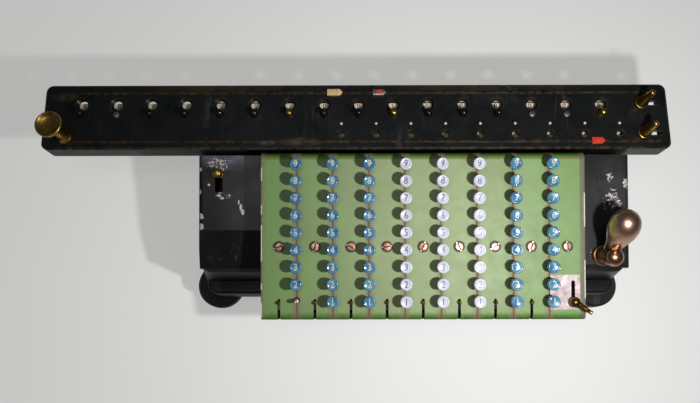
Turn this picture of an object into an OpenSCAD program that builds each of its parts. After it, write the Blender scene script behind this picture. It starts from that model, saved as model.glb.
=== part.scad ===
// Calculating machine with a full keyboard, stepped drums and a carriage that slides and lifts.
// The origin is on the table, under the middle of the keyboard's width, at the middle of the base's depth.

/* [Keyboard] */
// Distance between key columns, and between the number places of the carriage
column_pitch = 25; // [24:0.5:27]
// Slope of the keyboard in degrees
keyboard_slope = 12; // [9:0.5:14]
// Height of the keyboard's front edge over the table
keyboard_front_z = 86.4; // [84.5:0.1:94]
// Distance from the origin forward to the keyboard's front edge
keyboard_front = 96; // [91:0.5:100]
// Length of the keyboard strips along the slope
strip_length = 116.5; // [115:0.5:121]
// Thickness of a keyboard strip
strip_t = 1.5; // [1:0.1:2]
// Outer radius of the rolled ends of a strip
strip_roll = 5; // [3:0.5:7]
// How far the rolled ends reach down
strip_drop = 12; // [9:0.5:14]
// Gap between two strips
strip_seam = 0.2; // [0.1:0.05:0.5]
// Distance from the front edge up the slope to the strip screws
strip_screw_v = 51; // [43:0.5:58]
// Distance from the front edge up the slope to key row 1
row_1_v = 14; // [13.5:0.25:15]
// Distance from key row 9 up the slope to the keyboard's rear edge
row_9_margin = 8.66; // [8:0.01:9.5]

/* [Keys] */
// Radius of a key cap
cap_r = 4.25; // [3.5:0.05:4.8]
// Height of a key cap
cap_h = 4; // [3:0.25:5]
// Height of the cap's top over the keyboard
cap_top = 12; // [11:0.25:14]
// Radius of a key stem
stem_r = 1.6; // [1.2:0.05:1.8]
// Depth of a key stem below the keyboard
stem_depth = 13; // [10:0.5:14]
// Gap all round a stem where it passes through the keyboard
stem_gap = 0.7; // [0.5:0.05:0.9]

/* [Body] */
// Width of the left cover
left_cover_w = 48; // [47.5:0.5:58]
// Width of the right cover
right_cover_w = 39; // [38.5:0.5:50]
// Distance from the origin forward to the case's top front edge
case_front = 60; // [58:0.5:64]
// Height of the case's top over the table
case_top_z = 67.5; // [64:0.5:70]
// How far the case spreads outwards on its way down
case_flare = 6; // [2:0.5:9]
// Radius of the case's upright corners
case_corner = 9; // [6:0.5:12]
// Thickness of the case walls and of its deck
case_wall = 3; // [2:0.25:4]
// Height of the cast base
base_h = 14; // [12:0.5:18]
// How far the base stands out round the case
base_rim = 1.8; // [1:0.1:3]
// Radius of the four foot lobes
lobe_r = 18; // [15:0.5:20]
// How far the lobes stand out in front of the base
lobe_out = 13; // [9:0.5:15]
// How far the lobes stand out beside and behind the base
lobe_side_out = 5.5; // [3:0.5:9]
// Depth of the covers' deck below the keyboard, square to its slope
cover_drop = 20; // [18:0.5:21]
// Length of the left cover's front slope, front to back
cover_slope_length = 26.5; // [20:0.5:30]
// Radius of the covers' outer edges
cover_edge_r = 3; // [2.5:0.25:4]
// Thickness of the cover sheet
cover_t = 2.2; // [1.5:0.1:3]
// Ledge left on the case in front of the covers
cover_ledge = 2.5; // [1:0.25:4]

/* [Carriage] */
// Gap between the keyboard's rear edge and the carriage
carriage_gap = 6; // [4:0.5:8]
// Depth of the carriage, front to back
carriage_depth = 49; // [48:0.5:54]
// Height of the carriage's top over the table
carriage_top_z = 100; // [98:0.5:104]
// Height of the carriage's walls
carriage_h = 16; // [15:0.25:18]
// Thickness of the carriage's top plate
carriage_plate_t = 3; // [2.4:0.1:3.4]
// Thickness of the carriage's walls
carriage_wall = 2.5; // [2:0.1:3]
// Distance from the carriage's left end to its first result window
carriage_margin_left = 27.7; // [24:0.1:35]
// Distance from the last result window to the carriage's right end
carriage_margin_right = 48.3; // [46:0.1:55]
// How far the carriage stands from its home place, in places
carriage_place = 2; // [2:1:2]
// Offset of the number places from the key columns
place_offset = -6.7; // [-9:0.1:-4]
// Radius of a result window
result_window_r = 3.2; // [2.6:0.1:3.6]
// Radius of the bevel round a result window
result_bevel_r = 5; // [4.2:0.1:5.2]
// Radius of a counter window
counter_window_r = 2.4; // [2:0.1:2.8]
// Distance from a dial's axis to its window
dial_reach = 8; // [7.5:0.1:8.2]
// Distance from the carriage's front to the counter dials' axes
counter_axis = 19; // [18.5:0.1:19.5]
// Distance from the carriage's front to the result dials' axes
result_axis = 26; // [25.7:0.1:26.5]
// Radius of a number dial
dial_r = 10.5; // [10:0.1:10.8]
// Radius of a result dial's spindle
dial_spindle_r = 2; // [1.6:0.05:2.2]
// Radius of a setting knob
setting_knob_r = 2.9; // [2.5:0.1:3.3]
// Height of a setting knob over the carriage
setting_knob_h = 7; // [5:0.25:9]
// Radius of a counter dial's pin
counter_pin_r = 1; // [0.8:0.05:1.2]
// Length of the result clearing handle's slot
result_slot_length = 14.5; // [14:0.5:16]
// Length of the counter clearing handle's slot
counter_slot_length = 16; // [15.5:0.5:17]
// Distance from the carriage's ends to the bridge's ends
bridge_end = 8; // [7:0.5:10]
// Width of a leg of the bridge
bridge_leg_w = 6; // [4:0.5:8]
// Running clearance of turning parts in their bearings
running_gap = 0.05; // [0.02:0.01:0.08]

/* [Drive] */
// Radius of the rod that the carriage slides and tilts on
rod_r = 3; // [2.5:0.1:3.2]
// Length of a stepped drum
drum_length = 70; // [60:1:72]
// Radius of a stepped drum over its teeth
drum_r = 19; // [16:0.5:20]
// Height of a drum tooth
tooth_h = 3; // [2:0.25:4]
// Width of a drum tooth
tooth_w = 3.4; // [2.5:0.1:4]
// Radius of the drum shafts
drum_shaft_r = 4; // [3:0.1:4.2]
// Radius of the cross shaft
cross_shaft_r = 3; // [2.5:0.1:3.2]
// Large radius of the bevel gears
bevel_r = 9; // [8:0.25:9.5]
// Teeth of a bevel gear
bevel_teeth = 16; // [12:1:18]

/* [Crank] */
// Distance from the case's right edge to the crank's axis
crank_inset = 20.5; // [19:0.1:21]
// Distance from the keyboard's front edge up the slope to the crank's axis
crank_v = 43.8; // [43:0.2:47]
// Radius of the crank's shaft
crank_shaft_r = 4; // [3:0.1:4.4]
// Depth from the keyboard's surface down the crank's axis to the cross shaft
drive_depth = 60; // [58:0.5:62]
// Radius of the crank's collar
collar_r = 7.4; // [7:0.1:8]
// Height of the crank's collar
collar_h = 3.2; // [2:0.1:4]
// Radius of the crank's post
post_r = 6.4; // [5.5:0.1:6.6]
// Height of the ball at the post's end over the covers
crank_rise = 22.7; // [21:0.1:25]
// Radius of the ball at the post's end
ball_r = 6.7; // [6.6:0.1:7.2]
// Height over the covers at which the grip's line leaves the crank's axis
grip_root = 11.5; // [11:0.1:12.5]
// Lean of the grip from the crank's axis, in degrees
grip_lean = 39; // [36:0.5:40]
// Turn of the crank at rest from straight up the slope, in degrees
grip_turn = 4; // [0:1:20]
// Distance from the crank's axis along the grip's line to the grip's narrow end
grip_seat = 16; // [16:0.1:19]
// Length of the grip
grip_length = 31; // [28:0.1:33]
// Largest radius of the grip
grip_r = 10.2; // [8.5:0.1:10.5]
// Radius of the grip's narrow end
grip_neck_r = 6.3; // [5:0.1:6.4]
// Radius at which the crank's arm leaves its post
arm_r = 4.8; // [4:0.1:5.4]
// Radius of the spindle that the grip turns on
spindle_r = 2.4; // [1.8:0.1:3]

/* [Hidden] */
$fn = 48;
columns = 8;
rows = 9;
strips = columns + 1;
result_places = 16;
counter_places = 9;
drums = 4;
row_pitch = (strip_length - row_1_v - row_9_margin) / (rows - 1);
missing_knobs = [1, 13, 14];
missing_cap = [0, 0];

half_keyboard = strips * column_pitch / 2;
keyboard_rear_y = strip_length * cos(keyboard_slope) - keyboard_front;
web_t = 3;
stem_hole_r = stem_r + stem_gap;
screw_r = 1.75;
screw_hole_r = screw_r + 0.05;
frame_inset = 1;
frame_wall = 2.2;

case_left_x = -half_keyboard - left_cover_w;
case_right_x = half_keyboard + right_cover_w;
carriage_front_y = keyboard_rear_y + carriage_gap;
carriage_rear_y = carriage_front_y + carriage_depth;
case_rear_y = carriage_rear_y - 1;
carriage_bottom_z = carriage_top_z - carriage_h;
spare_places = result_places - columns - carriage_place;
result_x0 = place_offset - ((columns - 1) / 2 + spare_places) * column_pitch;
counter_x0 = result_x0 + 7.5 * column_pitch;
carriage_left_x = result_x0 - carriage_margin_left;
carriage_right_x = result_x0 + (result_places - 1) * column_pitch + carriage_margin_right;
counter_y = carriage_front_y + counter_axis;
result_y = carriage_front_y + result_axis;
plate_bottom_z = carriage_top_z - carriage_plate_t;
result_disc_z = plate_bottom_z - 3.5;
counter_disc_z = result_disc_z - 4.5;
disc_t = 2;
gear_z = counter_disc_z - 5;
gear_t = 4;
bridge_t = 2.5;
bridge_z = carriage_bottom_z - 4;
bridge_front_y = carriage_front_y + 4;
bridge_leg_t = 3;
rod_y = carriage_rear_y - 8;
rod_z = bridge_z - 2;
bridge_rear_y = rod_y - 5;
sleeve_r = rod_r + 1.6;
ear_w = 7.7;
ear_half = 4.4;
sleeve_left_x = -96;
sleeve_right_x = -14;
rail_post_w = 4.5;
lower_spindle_r = 1.5;

handle_shank_r = 1.5;
handle_slot_lead = 2.7;
handle_x = carriage_right_x - 18.9;
result_handle_y = result_y + dial_reach + 0.3;
counter_handle_y = counter_y - dial_reach + 0.6;
rail_left_x = carriage_left_x + 23;
rail_right_x = carriage_right_x - 8;
rear_rail_y = carriage_rear_y - 6.6;
front_rail_y = carriage_front_y + 5.4;
rail_w = 1;
rail_h = 1.4;

seat_gap = 0.2;
cover_gap = 0.3;
cover_rear_y = carriage_front_y - 2;
cover_front_y = -case_front + cover_ledge;
left_break_y = cover_front_y + cover_slope_length;
left_shoulder_z = case_top_z + 0.8;
right_break_y = cover_front_y + 2;
right_shoulder_z = deck_z(cover_front_y) - 2;
boss_wall = 3.2;

crank_x = case_right_x - crank_inset;
ball_w = crank_rise - cover_drop;
spindle_length = grip_seat + 0.72 * grip_length;
cross_y = local_y(crank_v, -drive_depth);
cross_z = local_z(crank_v, -drive_depth);
bevel_face = 4;
bevel_gap = 0.4;
shaft_start = bevel_r - bevel_face;

base_floor_t = 5;
lobe_h = base_h - 2;
plate_t = 4;
front_plate_y = cross_y + bevel_r + 1;
drum_front_y = front_plate_y + plate_t + 4;
rear_plate_y = drum_front_y + drum_length + 3;
shaft_overhang = 3;
tooth_inset = 0.5;
drum_pitch = 2 * column_pitch;
drum_x0 = -(drums - 1) * drum_pitch / 2;
bearing_w = 5;
bearing_half = 6;

lever_slot_x = half_keyboard - 9;
lever_slot_v0 = 11;
lever_slot_v1 = 28;
lever_slot_w = 3;
lever_v = 13;
lever_plate_v0 = strip_roll + 2.4;
lever_plate_v1 = lever_slot_v1 + 3.4;
column_slot_w = 2;
column_slot_v = 14;
column_lever_v = column_slot_v - 1.4;
column_lever_r = 0.9;
column_lever_ball_r = 1.3;
column_lever_rise = 2;
column_lever_foot_r = 1.6;
column_lever_foot_h = 1;
cover_slot_x = case_left_x + 14.8;
cover_slot_v1 = strip_length - 9.9;
cover_slot_v0 = cover_slot_v1 - 16.9;
cover_slot_w = 5.6;
cover_lever_v = cover_slot_v1 - 3.4;

key_nodes = [for (c = [1 : columns]) str("keys_column_", c)];
drum_nodes = [for (d = [1 : drums]) str("stepped_drum_", d)];
result_nodes = [for (k = [1 : result_places]) str("result_dial_", k)];
counter_nodes = [for (k = [1 : counter_places]) str("counter_dial_", k)];

japan = [0.07, 0.08, 0.09];
worn_brass = [0.72, 0.55, 0.25];
green = [0.47, 0.65, 0.37];
steel = [0.6, 0.6, 0.58];
ivory = [0.9, 0.86, 0.72];

function column_x(c) = (c - (columns - 1) / 2) * column_pitch;
function strip_x(s) = (s - (strips - 1) / 2) * column_pitch;
function row_v(r) = row_1_v + r * row_pitch;
function result_x(k) = result_x0 + k * column_pitch;
function counter_x(k) = counter_x0 + k * column_pitch;
function drum_x(d) = drum_x0 + d * drum_pitch;
// Place in Y and Z of a point v up the keyboard's slope and w out of it
function local_y(v, w) = v * cos(keyboard_slope) - w * sin(keyboard_slope) - keyboard_front;
function local_z(v, w) = v * sin(keyboard_slope) + w * cos(keyboard_slope) + keyboard_front_z;
// Height of the covers' deck, which runs below the keyboard at its slope
function deck_z(y) =
    keyboard_front_z + (y + keyboard_front) * tan(keyboard_slope) - cover_drop / cos(keyboard_slope);
function listed(value, items) = len([for (i = items) if (i == value) i]) > 0;

// The keyboard's own frame: X across, Y up the slope, Z out of the keyboard
module on_keyboard() {
    translate([0, -keyboard_front, keyboard_front_z]) rotate([keyboard_slope, 0, 0]) children();
}

// Extrudes an outline drawn in Y and Z along X
module along_x(x0, x1) {
    translate([x0, 0, 0]) rotate([90, 0, 90]) linear_extrude(height = x1 - x0) children();
}

// Extrudes an outline drawn in X and Z along Y
module along_y(y0, y1) {
    translate([0, y1, 0]) rotate([90, 0, 0]) linear_extrude(height = y1 - y0) children();
}

// A flat block from one corner to the other
module block(low, high) {
    translate(low) cube(high - low);
}

// An upright block with round upright corners, of one radius
module round_block(low, high, r) {
    size = high - low;
    translate([low[0] + r, low[1], low[2]]) cube([size[0] - 2 * r, size[1], size[2]]);
    translate([low[0], low[1] + r, low[2]]) cube([size[0], size[1] - 2 * r, size[2]]);
    for (x = [low[0] + r, high[0] - r], y = [low[1] + r, high[1] - r])
        translate([x, y, low[2]]) cylinder(r = r, h = size[2]);
}

// A slot with round ends, along Y
module slot(x, y0, y1, z0, z1, w) {
    block([x - w / 2, y0 + w / 2, z0], [x + w / 2, y1 - w / 2, z1]);
    for (y = [y0 + w / 2, y1 - w / 2]) translate([x, y, z0]) cylinder(r = w / 2, h = z1 - z0);
}

// A bevel gear round Z, its large end at the top of its cone
module bevel_gear() {
    big = bevel_r - bevel_gap;
    translate([0, 0, shaft_start]) difference() {
        cylinder(r1 = big - bevel_face, r2 = big, h = bevel_face);
        for (t = [0 : bevel_teeth - 1])
            rotate(t * 360 / bevel_teeth) translate([big - 0.7, 0, bevel_face]) rotate([0, -45, 0])
                cube([1.2, 0.9, 3 * bevel_face], center = true);
    }
}

// The case at one height, spread by the flare
module case_layer(z, spread, inset) {
    r = case_corner;
    for (x = [case_left_x - spread + inset + r, case_right_x + spread - inset - r],
         y = [-case_front - spread + inset + r, case_rear_y - inset - r])
        translate([x, y, z]) cylinder(r = r, h = 0.01, $fn = 32);
}

module case_solid(z0, z1, inset) {
    hull() {
        case_layer(z0, case_flare, inset);
        case_layer(z1 - 0.01, 0, inset);
    }
}

module base_frame() {
    spread = case_flare + base_rim;
    low = [case_left_x - spread, -case_front - spread, 0];
    high = [case_right_x + spread, case_rear_y + base_rim, base_h];
    rim = base_rim + case_wall;
    lobe_x = [low[0] + lobe_r - lobe_side_out, high[0] - lobe_r + lobe_side_out];
    color(japan) {
        difference() {
            union() {
                round_block(low, high, case_corner + base_rim);
                for (x = lobe_x, y = [low[1] + lobe_r - lobe_out, high[1] - lobe_r + lobe_side_out])
                    translate([x, y, 0]) {
                        cylinder(r = lobe_r, h = lobe_h - 2);
                        translate([0, 0, lobe_h - 2]) cylinder(r1 = lobe_r, r2 = lobe_r - 2, h = 2);
                    }
            }
            round_block([low[0] + rim, low[1] + rim, base_floor_t],
                        [high[0] - rim, high[1] - rim, base_h + 1], case_corner);
        }
    }
}

module case_shell() {
    color(japan) difference() {
        case_solid(base_h, case_top_z, 0);
        case_solid(base_h - 0.02, case_top_z - case_wall, case_wall);
        block([-half_keyboard + 8, -case_front + 12, case_top_z - case_wall - 1],
              [half_keyboard - 8, keyboard_rear_y - 10, case_top_z + 1]);
        on_crank() translate([0, 0, -drive_depth + 2 * bevel_r]) cylinder(r = crank_shaft_r + 1, h = 20);
    }
}

// Side outline of a cover, in Y and Z: a deck at the keyboard's slope, and a steeper front
module cover_outline(break_y, shoulder_z, inset) {
    foot_z = case_top_z - (inset > 0 ? 1 : 0);
    top_inset = inset / cos(keyboard_slope);
    polygon([
        [cover_front_y + inset, foot_z],
        [cover_front_y + inset, shoulder_z],
        [break_y + inset * 0.4, deck_z(break_y) - top_inset],
        [cover_rear_y - inset, deck_z(cover_rear_y - inset) - top_inset],
        [cover_rear_y - inset, foot_z]
    ]);
}

// The outer form of a cover, with a rounded outer edge
module cover_form(inner_x, outer_x, break_y, shoulder_z) {
    side = outer_x > inner_x ? 1 : -1;
    round_x = outer_x - side * cover_edge_r;
    length = strip_length + 20;
    intersection() {
        along_x(min(inner_x, outer_x), max(inner_x, outer_x)) cover_outline(break_y, shoulder_z, 0);
        on_keyboard() union() {
            block([min(inner_x, round_x), 0, -drive_depth], [max(inner_x, round_x), length, 0]);
            block([min(round_x, outer_x), 0, -drive_depth],
                  [max(round_x, outer_x), length, -cover_drop - cover_edge_r]);
            translate([round_x, length, -cover_drop - cover_edge_r]) rotate([90, 0, 0])
                cylinder(r = cover_edge_r, h = length);
        }
    }
}

// A sheet cover, open below
module cover_sheet(inner_x, outer_x, break_y, shoulder_z) {
    difference() {
        cover_form(inner_x, outer_x, break_y, shoulder_z);
        along_x(min(inner_x, outer_x) + cover_t, max(inner_x, outer_x) - cover_t)
            cover_outline(break_y, shoulder_z, cover_t);
    }
}

module left_cover() {
    color(japan) difference() {
        cover_sheet(-half_keyboard - cover_gap, case_left_x, left_break_y, left_shoulder_z);
        on_keyboard() block([cover_slot_x - cover_slot_w / 2, cover_slot_v0, -cover_drop - cover_t - 1],
                            [cover_slot_x + cover_slot_w / 2, cover_slot_v1, -cover_drop + 1]);
    }
}

module right_cover() {
    inner_x = half_keyboard + cover_gap;
    color(japan) difference() {
        union() {
            cover_sheet(inner_x, case_right_x, right_break_y, right_shoulder_z);
            intersection() {
                cover_form(inner_x, case_right_x, right_break_y, right_shoulder_z);
                on_crank() translate([0, 0, -drive_depth])
                    cylinder(r = crank_shaft_r + boss_wall, h = drive_depth);
            }
        }
        on_crank() translate([0, 0, -drive_depth]) cylinder(r = crank_shaft_r + running_gap, h = drive_depth);
    }
}

module keyboard_frame() {
    x1 = half_keyboard - frame_inset;
    v0 = strip_t + frame_inset;
    v1 = strip_length - v0;
    depth = 60;
    color(japan) difference() {
        on_keyboard() along_x(-x1, x1) polygon([
            [v0, -depth], [v0, -strip_roll], [strip_roll + frame_inset, -strip_t],
            [strip_length - strip_roll - frame_inset, -strip_t], [v1, -strip_roll], [v1, -depth]
        ]);
        block([-x1 - 1, -200, -50], [x1 + 1, 200, case_top_z]);
        on_keyboard() {
            block([-x1 + frame_wall, v0 + frame_wall, -depth - 1],
                  [x1 - frame_wall, v1 - frame_wall, -strip_t - web_t]);
            for (c = [0 : columns - 1], r = [0 : rows - 1])
                translate([column_x(c), row_v(r), -strip_t - web_t - 1]) cylinder(r = stem_hole_r, h = web_t + 2);
            for (s = [0 : strips - 1])
                translate([strip_x(s), strip_screw_v, -strip_t - web_t - 1])
                    cylinder(r = screw_hole_r, h = web_t + 2);
            for (s = [0 : strips - 2]) column_slot(s, -strip_t - web_t - 1, -strip_t + 1, 5);
            slot(lever_slot_x, lever_slot_v0, lever_slot_v1, -strip_t - web_t - 1, -strip_t + 1, lever_slot_w);
        }
    }
}

// The slot of a column's clearing lever, open towards the front
module column_slot(s, z0, z1, v0) {
    x = strip_x(s);
    r = column_slot_w / 2;
    block([x - r, v0, z0], [x + r, column_slot_v, z1]);
    translate([x, column_slot_v, z0]) cylinder(r = r, h = z1 - z0);
}

// Side outline of a strip with both ends rolled down, up the slope and out of the keyboard
module strip_outline(inset) {
    r = strip_roll - inset;
    translate([strip_roll, -strip_drop - inset]) square([strip_length - 2 * strip_roll, strip_drop]);
    translate([inset, -strip_drop - inset]) square([strip_length - 2 * inset, strip_drop + inset - strip_roll]);
    for (v = [strip_roll, strip_length - strip_roll]) translate([v, -strip_roll]) circle(r = r);
}

module keyboard_strips() {
    color(green) on_keyboard() difference() {
        for (s = [0 : strips - 1])
            difference() {
                along_x(strip_x(s) - (column_pitch - strip_seam) / 2, strip_x(s) + (column_pitch - strip_seam) / 2)
                    strip_outline(0);
                along_x(strip_x(s) - column_pitch / 2, strip_x(s) + column_pitch / 2) strip_outline(strip_t);
            }
        for (c = [0 : columns - 1], r = [0 : rows - 1])
            translate([column_x(c), row_v(r), -strip_t - 1]) cylinder(r = stem_hole_r, h = strip_t + 2);
        for (s = [0 : strips - 1])
            translate([strip_x(s), strip_screw_v, -strip_t - 1]) cylinder(r = screw_hole_r, h = strip_t + 2);
        for (s = [0 : strips - 2]) column_slot(s, -7, 1, -1);
        slot(lever_slot_x, lever_slot_v0, lever_slot_v1, -strip_t - 1, 1, lever_slot_w);
    }
}

module strip_screws() {
    head_r = 3.5;
    head_h = 1.4;
    color(steel) on_keyboard() for (s = [0 : strips - 1])
        translate([strip_x(s), strip_screw_v, 0]) difference() {
            union() {
                cylinder(r = head_r, h = head_h * 0.5);
                translate([0, 0, head_h * 0.5]) cylinder(r1 = head_r, r2 = head_r - 0.9, h = head_h * 0.5);
                translate([0, 0, 0.2 - strip_t - web_t]) cylinder(r = screw_r, h = strip_t + web_t);
            }
            translate([0, 0, head_h]) cube([2 * head_r + 1, 0.9, 1.2], center = true);
        }
}

module lever_plate() {
    color([0.8, 0.75, 0.76]) on_keyboard() difference() {
        block([half_keyboard - 24.8, lever_plate_v0, 0], [half_keyboard - 4.2, lever_plate_v1, 0.8]);
        slot(lever_slot_x, lever_slot_v0 + 0.5, lever_slot_v1 - 0.5, -1, 2, lever_slot_w - 0.4);
        for (r = [0 : 1]) translate([column_x(columns - 1), row_v(r), -1]) cylinder(r = stem_hole_r, h = 3);
    }
}

module function_lever() {
    shank_r = 1.2;
    color(worn_brass) on_keyboard() translate([lever_slot_x, lever_v, 0]) {
        translate([0, 0, -strip_t - web_t - 1.6]) cylinder(r = shank_r, h = strip_t + web_t + 5);
        translate([0, 0, -strip_t - web_t - 2]) cylinder(r = 2.6, h = 1.8);
        translate([0, 0, 4.8]) sphere(r = 3.7);
        translate([0, 0, 4.8]) rotate([0, 82, -34]) cylinder(r1 = 2.3, r2 = 1.5, h = 12);
        translate([0, 0, 4.8]) rotate([0, 82, -34]) translate([0, 0, 12]) sphere(r = 1.5);
    }
}

module column_levers() {
    color(worn_brass) on_keyboard() for (s = [0 : strips - 2])
        translate([strip_x(s), column_lever_v, 0]) {
            translate([0, 0, -strip_t - web_t - column_lever_foot_h])
                cylinder(r = column_lever_r, h = strip_t + web_t + column_lever_foot_h + column_lever_rise);
            translate([0, 0, -strip_t - web_t - column_lever_foot_h - seat_gap])
                cylinder(r = column_lever_foot_r, h = column_lever_foot_h);
            translate([0, 0, column_lever_rise]) sphere(r = column_lever_ball_r);
        }
}

module cover_lever() {
    color(worn_brass) on_keyboard() translate([cover_slot_x, cover_lever_v, -cover_drop]) {
        block([-2.2, -1.6, -cover_t - 5], [2.2, 1.6, 3]);
        block([-5, -3, -cover_t - 2.2], [5, 3, -cover_t - seat_gap]);
        translate([0, 0, 2]) cylinder(r1 = 2.4, r2 = 3.5, h = 4);
        translate([0, 0, 6]) cylinder(r1 = 3.5, r2 = 2.4, h = 2.5);
    }
}

// One key, from the keyboard's surface; a missing cap leaves its stem bare
module key(capped) {
    bottom = cap_top - cap_h;
    translate([0, 0, -stem_depth]) cylinder(r = stem_r, h = stem_depth + bottom + (capped ? 0.5 : 1));
    if (capped) translate([0, 0, bottom]) {
        cylinder(r1 = cap_r - 1, r2 = cap_r, h = 1);
        translate([0, 0, 1]) cylinder(r = cap_r, h = cap_h - 2);
        translate([0, 0, cap_h - 1]) cylinder(r1 = cap_r, r2 = cap_r - 0.8, h = 1);
    }
}

module keys_column(c) {
    color(c < 3 || c > 5 ? [0.1, 0.25, 0.5] : [0.92, 0.92, 0.93]) on_keyboard()
        for (r = [0 : rows - 1]) translate([column_x(c), row_v(r), 0]) key([c, r] != missing_cap);
}

module bearing_plates() {
    half = (drums * drum_pitch) / 2 + 6;
    top = case_top_z - case_wall;
    color(steel) {
        for (y = [front_plate_y, rear_plate_y]) difference() {
            block([-half, y, base_floor_t], [half, y + plate_t, top]);
            for (d = [0 : drums - 1])
                translate([drum_x(d), y - 1, cross_z]) rotate([-90, 0, 0])
                    cylinder(r = drum_shaft_r + running_gap, h = plate_t + 2);
        }
        for (x = concat([for (d = [0 : drums - 1]) drum_x(d) - 22], [half - bearing_w])) difference() {
            block([x, cross_y - bearing_half, cross_z - bearing_half],
                  [x + bearing_w, front_plate_y, cross_z + bearing_half]);
            translate([x - 1, cross_y, cross_z]) rotate([0, 90, 0])
                cylinder(r = cross_shaft_r + running_gap, h = bearing_w + 2);
        }
    }
}

module stepped_drum(d) {
    root_r = drum_r - tooth_h;
    shaft_end = rear_plate_y + plate_t + shaft_overhang - cross_y;
    color(steel) translate([drum_x(d), cross_y, cross_z]) rotate([-90, 0, 0]) {
        bevel_gear();
        translate([0, 0, shaft_start]) cylinder(r = drum_shaft_r, h = shaft_end - shaft_start);
        translate([0, 0, drum_front_y - cross_y]) {
            cylinder(r = root_r, h = drum_length);
            for (t = [1 : 9]) rotate(t * 20)
                translate([root_r - 0.5, -tooth_w / 2, drum_length * (1 - t / 10) + tooth_inset])
                    cube([tooth_h + 0.5, tooth_w, drum_length * t / 10 - 2 * tooth_inset]);
        }
    }
}

module cross_shaft() {
    left = drum_x(0) - 25;
    color(steel) {
        translate([left, cross_y, cross_z]) rotate([0, 90, 0])
            cylinder(r = cross_shaft_r, h = crank_x - shaft_start - left);
        for (d = [0 : drums - 1]) translate([drum_x(d), cross_y, cross_z]) rotate([0, 90, 0]) bevel_gear();
        translate([crank_x, cross_y, cross_z]) rotate([0, -90, 0]) bevel_gear();
    }
}

// The crank's own frame: its axis square to the keyboard, at the keyboard's height
module on_crank() {
    on_keyboard() translate([crank_x, crank_v, 0]) children();
}

// The grip's own line: from the crank's axis, up the slope and out
module on_grip() {
    on_crank() rotate(-grip_turn) translate([0, 0, grip_root - cover_drop]) rotate([-grip_lean, 0, 0])
        children();
}

module crank() {
    color(worn_brass) {
        on_crank() {
            translate([0, 0, -drive_depth]) bevel_gear();
            translate([0, 0, shaft_start - drive_depth])
                cylinder(r = crank_shaft_r, h = ball_w + drive_depth - shaft_start);
            translate([0, 0, seat_gap - cover_drop]) {
                cylinder(r = collar_r, h = collar_h - 1);
                translate([0, 0, collar_h - 1]) cylinder(r1 = collar_r, r2 = collar_r - 0.8, h = 1);
                cylinder(r = post_r, h = crank_rise - seat_gap);
            }
            translate([0, 0, ball_w]) sphere(r = ball_r);
        }
        on_grip() {
            translate([0, 0, arm_r]) cylinder(r1 = arm_r, r2 = grip_neck_r, h = grip_seat - seat_gap - arm_r);
            cylinder(r = spindle_r, h = spindle_length);
        }
    }
}

// Radius of the grip at a share of its length: narrow at its seat, full near its far end
function grip_radius(t) =
    t < 0.58 ? grip_neck_r + (grip_r - grip_neck_r) * pow(sin(90 * t / 0.58), 1.2)
             : grip_r * sqrt(max(0, 1 - pow((t - 0.58) / 0.42, 2.2)));

module crank_grip() {
    steps = 14;
    bore = spindle_r + running_gap;
    bore_end = spindle_length + 0.5;
    color(worn_brass) on_grip() rotate_extrude() polygon(concat(
        [[bore, grip_seat]],
        [for (i = [0 : steps]) [grip_radius(i * 0.97 / steps), grip_seat + grip_length * i * 0.97 / steps]],
        [[0, grip_seat + grip_length], [0, bore_end], [bore, bore_end]]));
}

module carriage_rails() {
    bar_top = bridge_z - seat_gap;
    left = [case_left_x + 0.5, case_left_x + 0.5 + rail_post_w];
    right = [case_right_x - 0.5 - rail_post_w, case_right_x - 0.5];
    color(steel) {
        translate([left[0], rod_y, rod_z]) rotate([0, 90, 0]) cylinder(r = rod_r, h = right[1] - left[0]);
        for (x = [left, right]) {
            translate([x[0], rod_y, rod_z]) rotate([0, 90, 0]) cylinder(r = 4.8, h = x[1] - x[0]);
            block([x[0], rod_y - 4, case_top_z], [x[1], rod_y + 4, rod_z]);
        }
        block([case_left_x + 1, bridge_front_y, case_top_z], [case_right_x - 1, bridge_front_y + 4, bar_top]);
    }
}

module slide_sleeve() {
    color(steel) translate([sleeve_left_x, rod_y, rod_z]) rotate([0, 90, 0]) difference() {
        cylinder(r = sleeve_r, h = sleeve_right_x - sleeve_left_x);
        translate([0, 0, -1]) cylinder(r = rod_r + running_gap, h = sleeve_right_x - sleeve_left_x + 2);
    }
}

// A window with a bevelled rim, cut down through the carriage's top plate
module window(x, y, r, bevel_r) {
    depth = min(1.8, bevel_r - r);
    translate([x, y, plate_bottom_z - 1]) cylinder(r = r, h = carriage_plate_t + 2);
    translate([x, y, carriage_top_z - depth]) cylinder(r1 = r, r2 = bevel_r + 0.2, h = depth + 0.2);
}

module handle_slot(x, y, length) {
    r = handle_shank_r + 0.1;
    ends = [x - handle_slot_lead + r, x - handle_slot_lead + length - r];
    block([ends[0], y - r, plate_bottom_z - 1], [ends[1], y + r, carriage_top_z + 1]);
    for (end_x = ends)
        translate([end_x, y, plate_bottom_z - 1]) cylinder(r = r, h = carriage_plate_t + 2);
}

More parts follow.
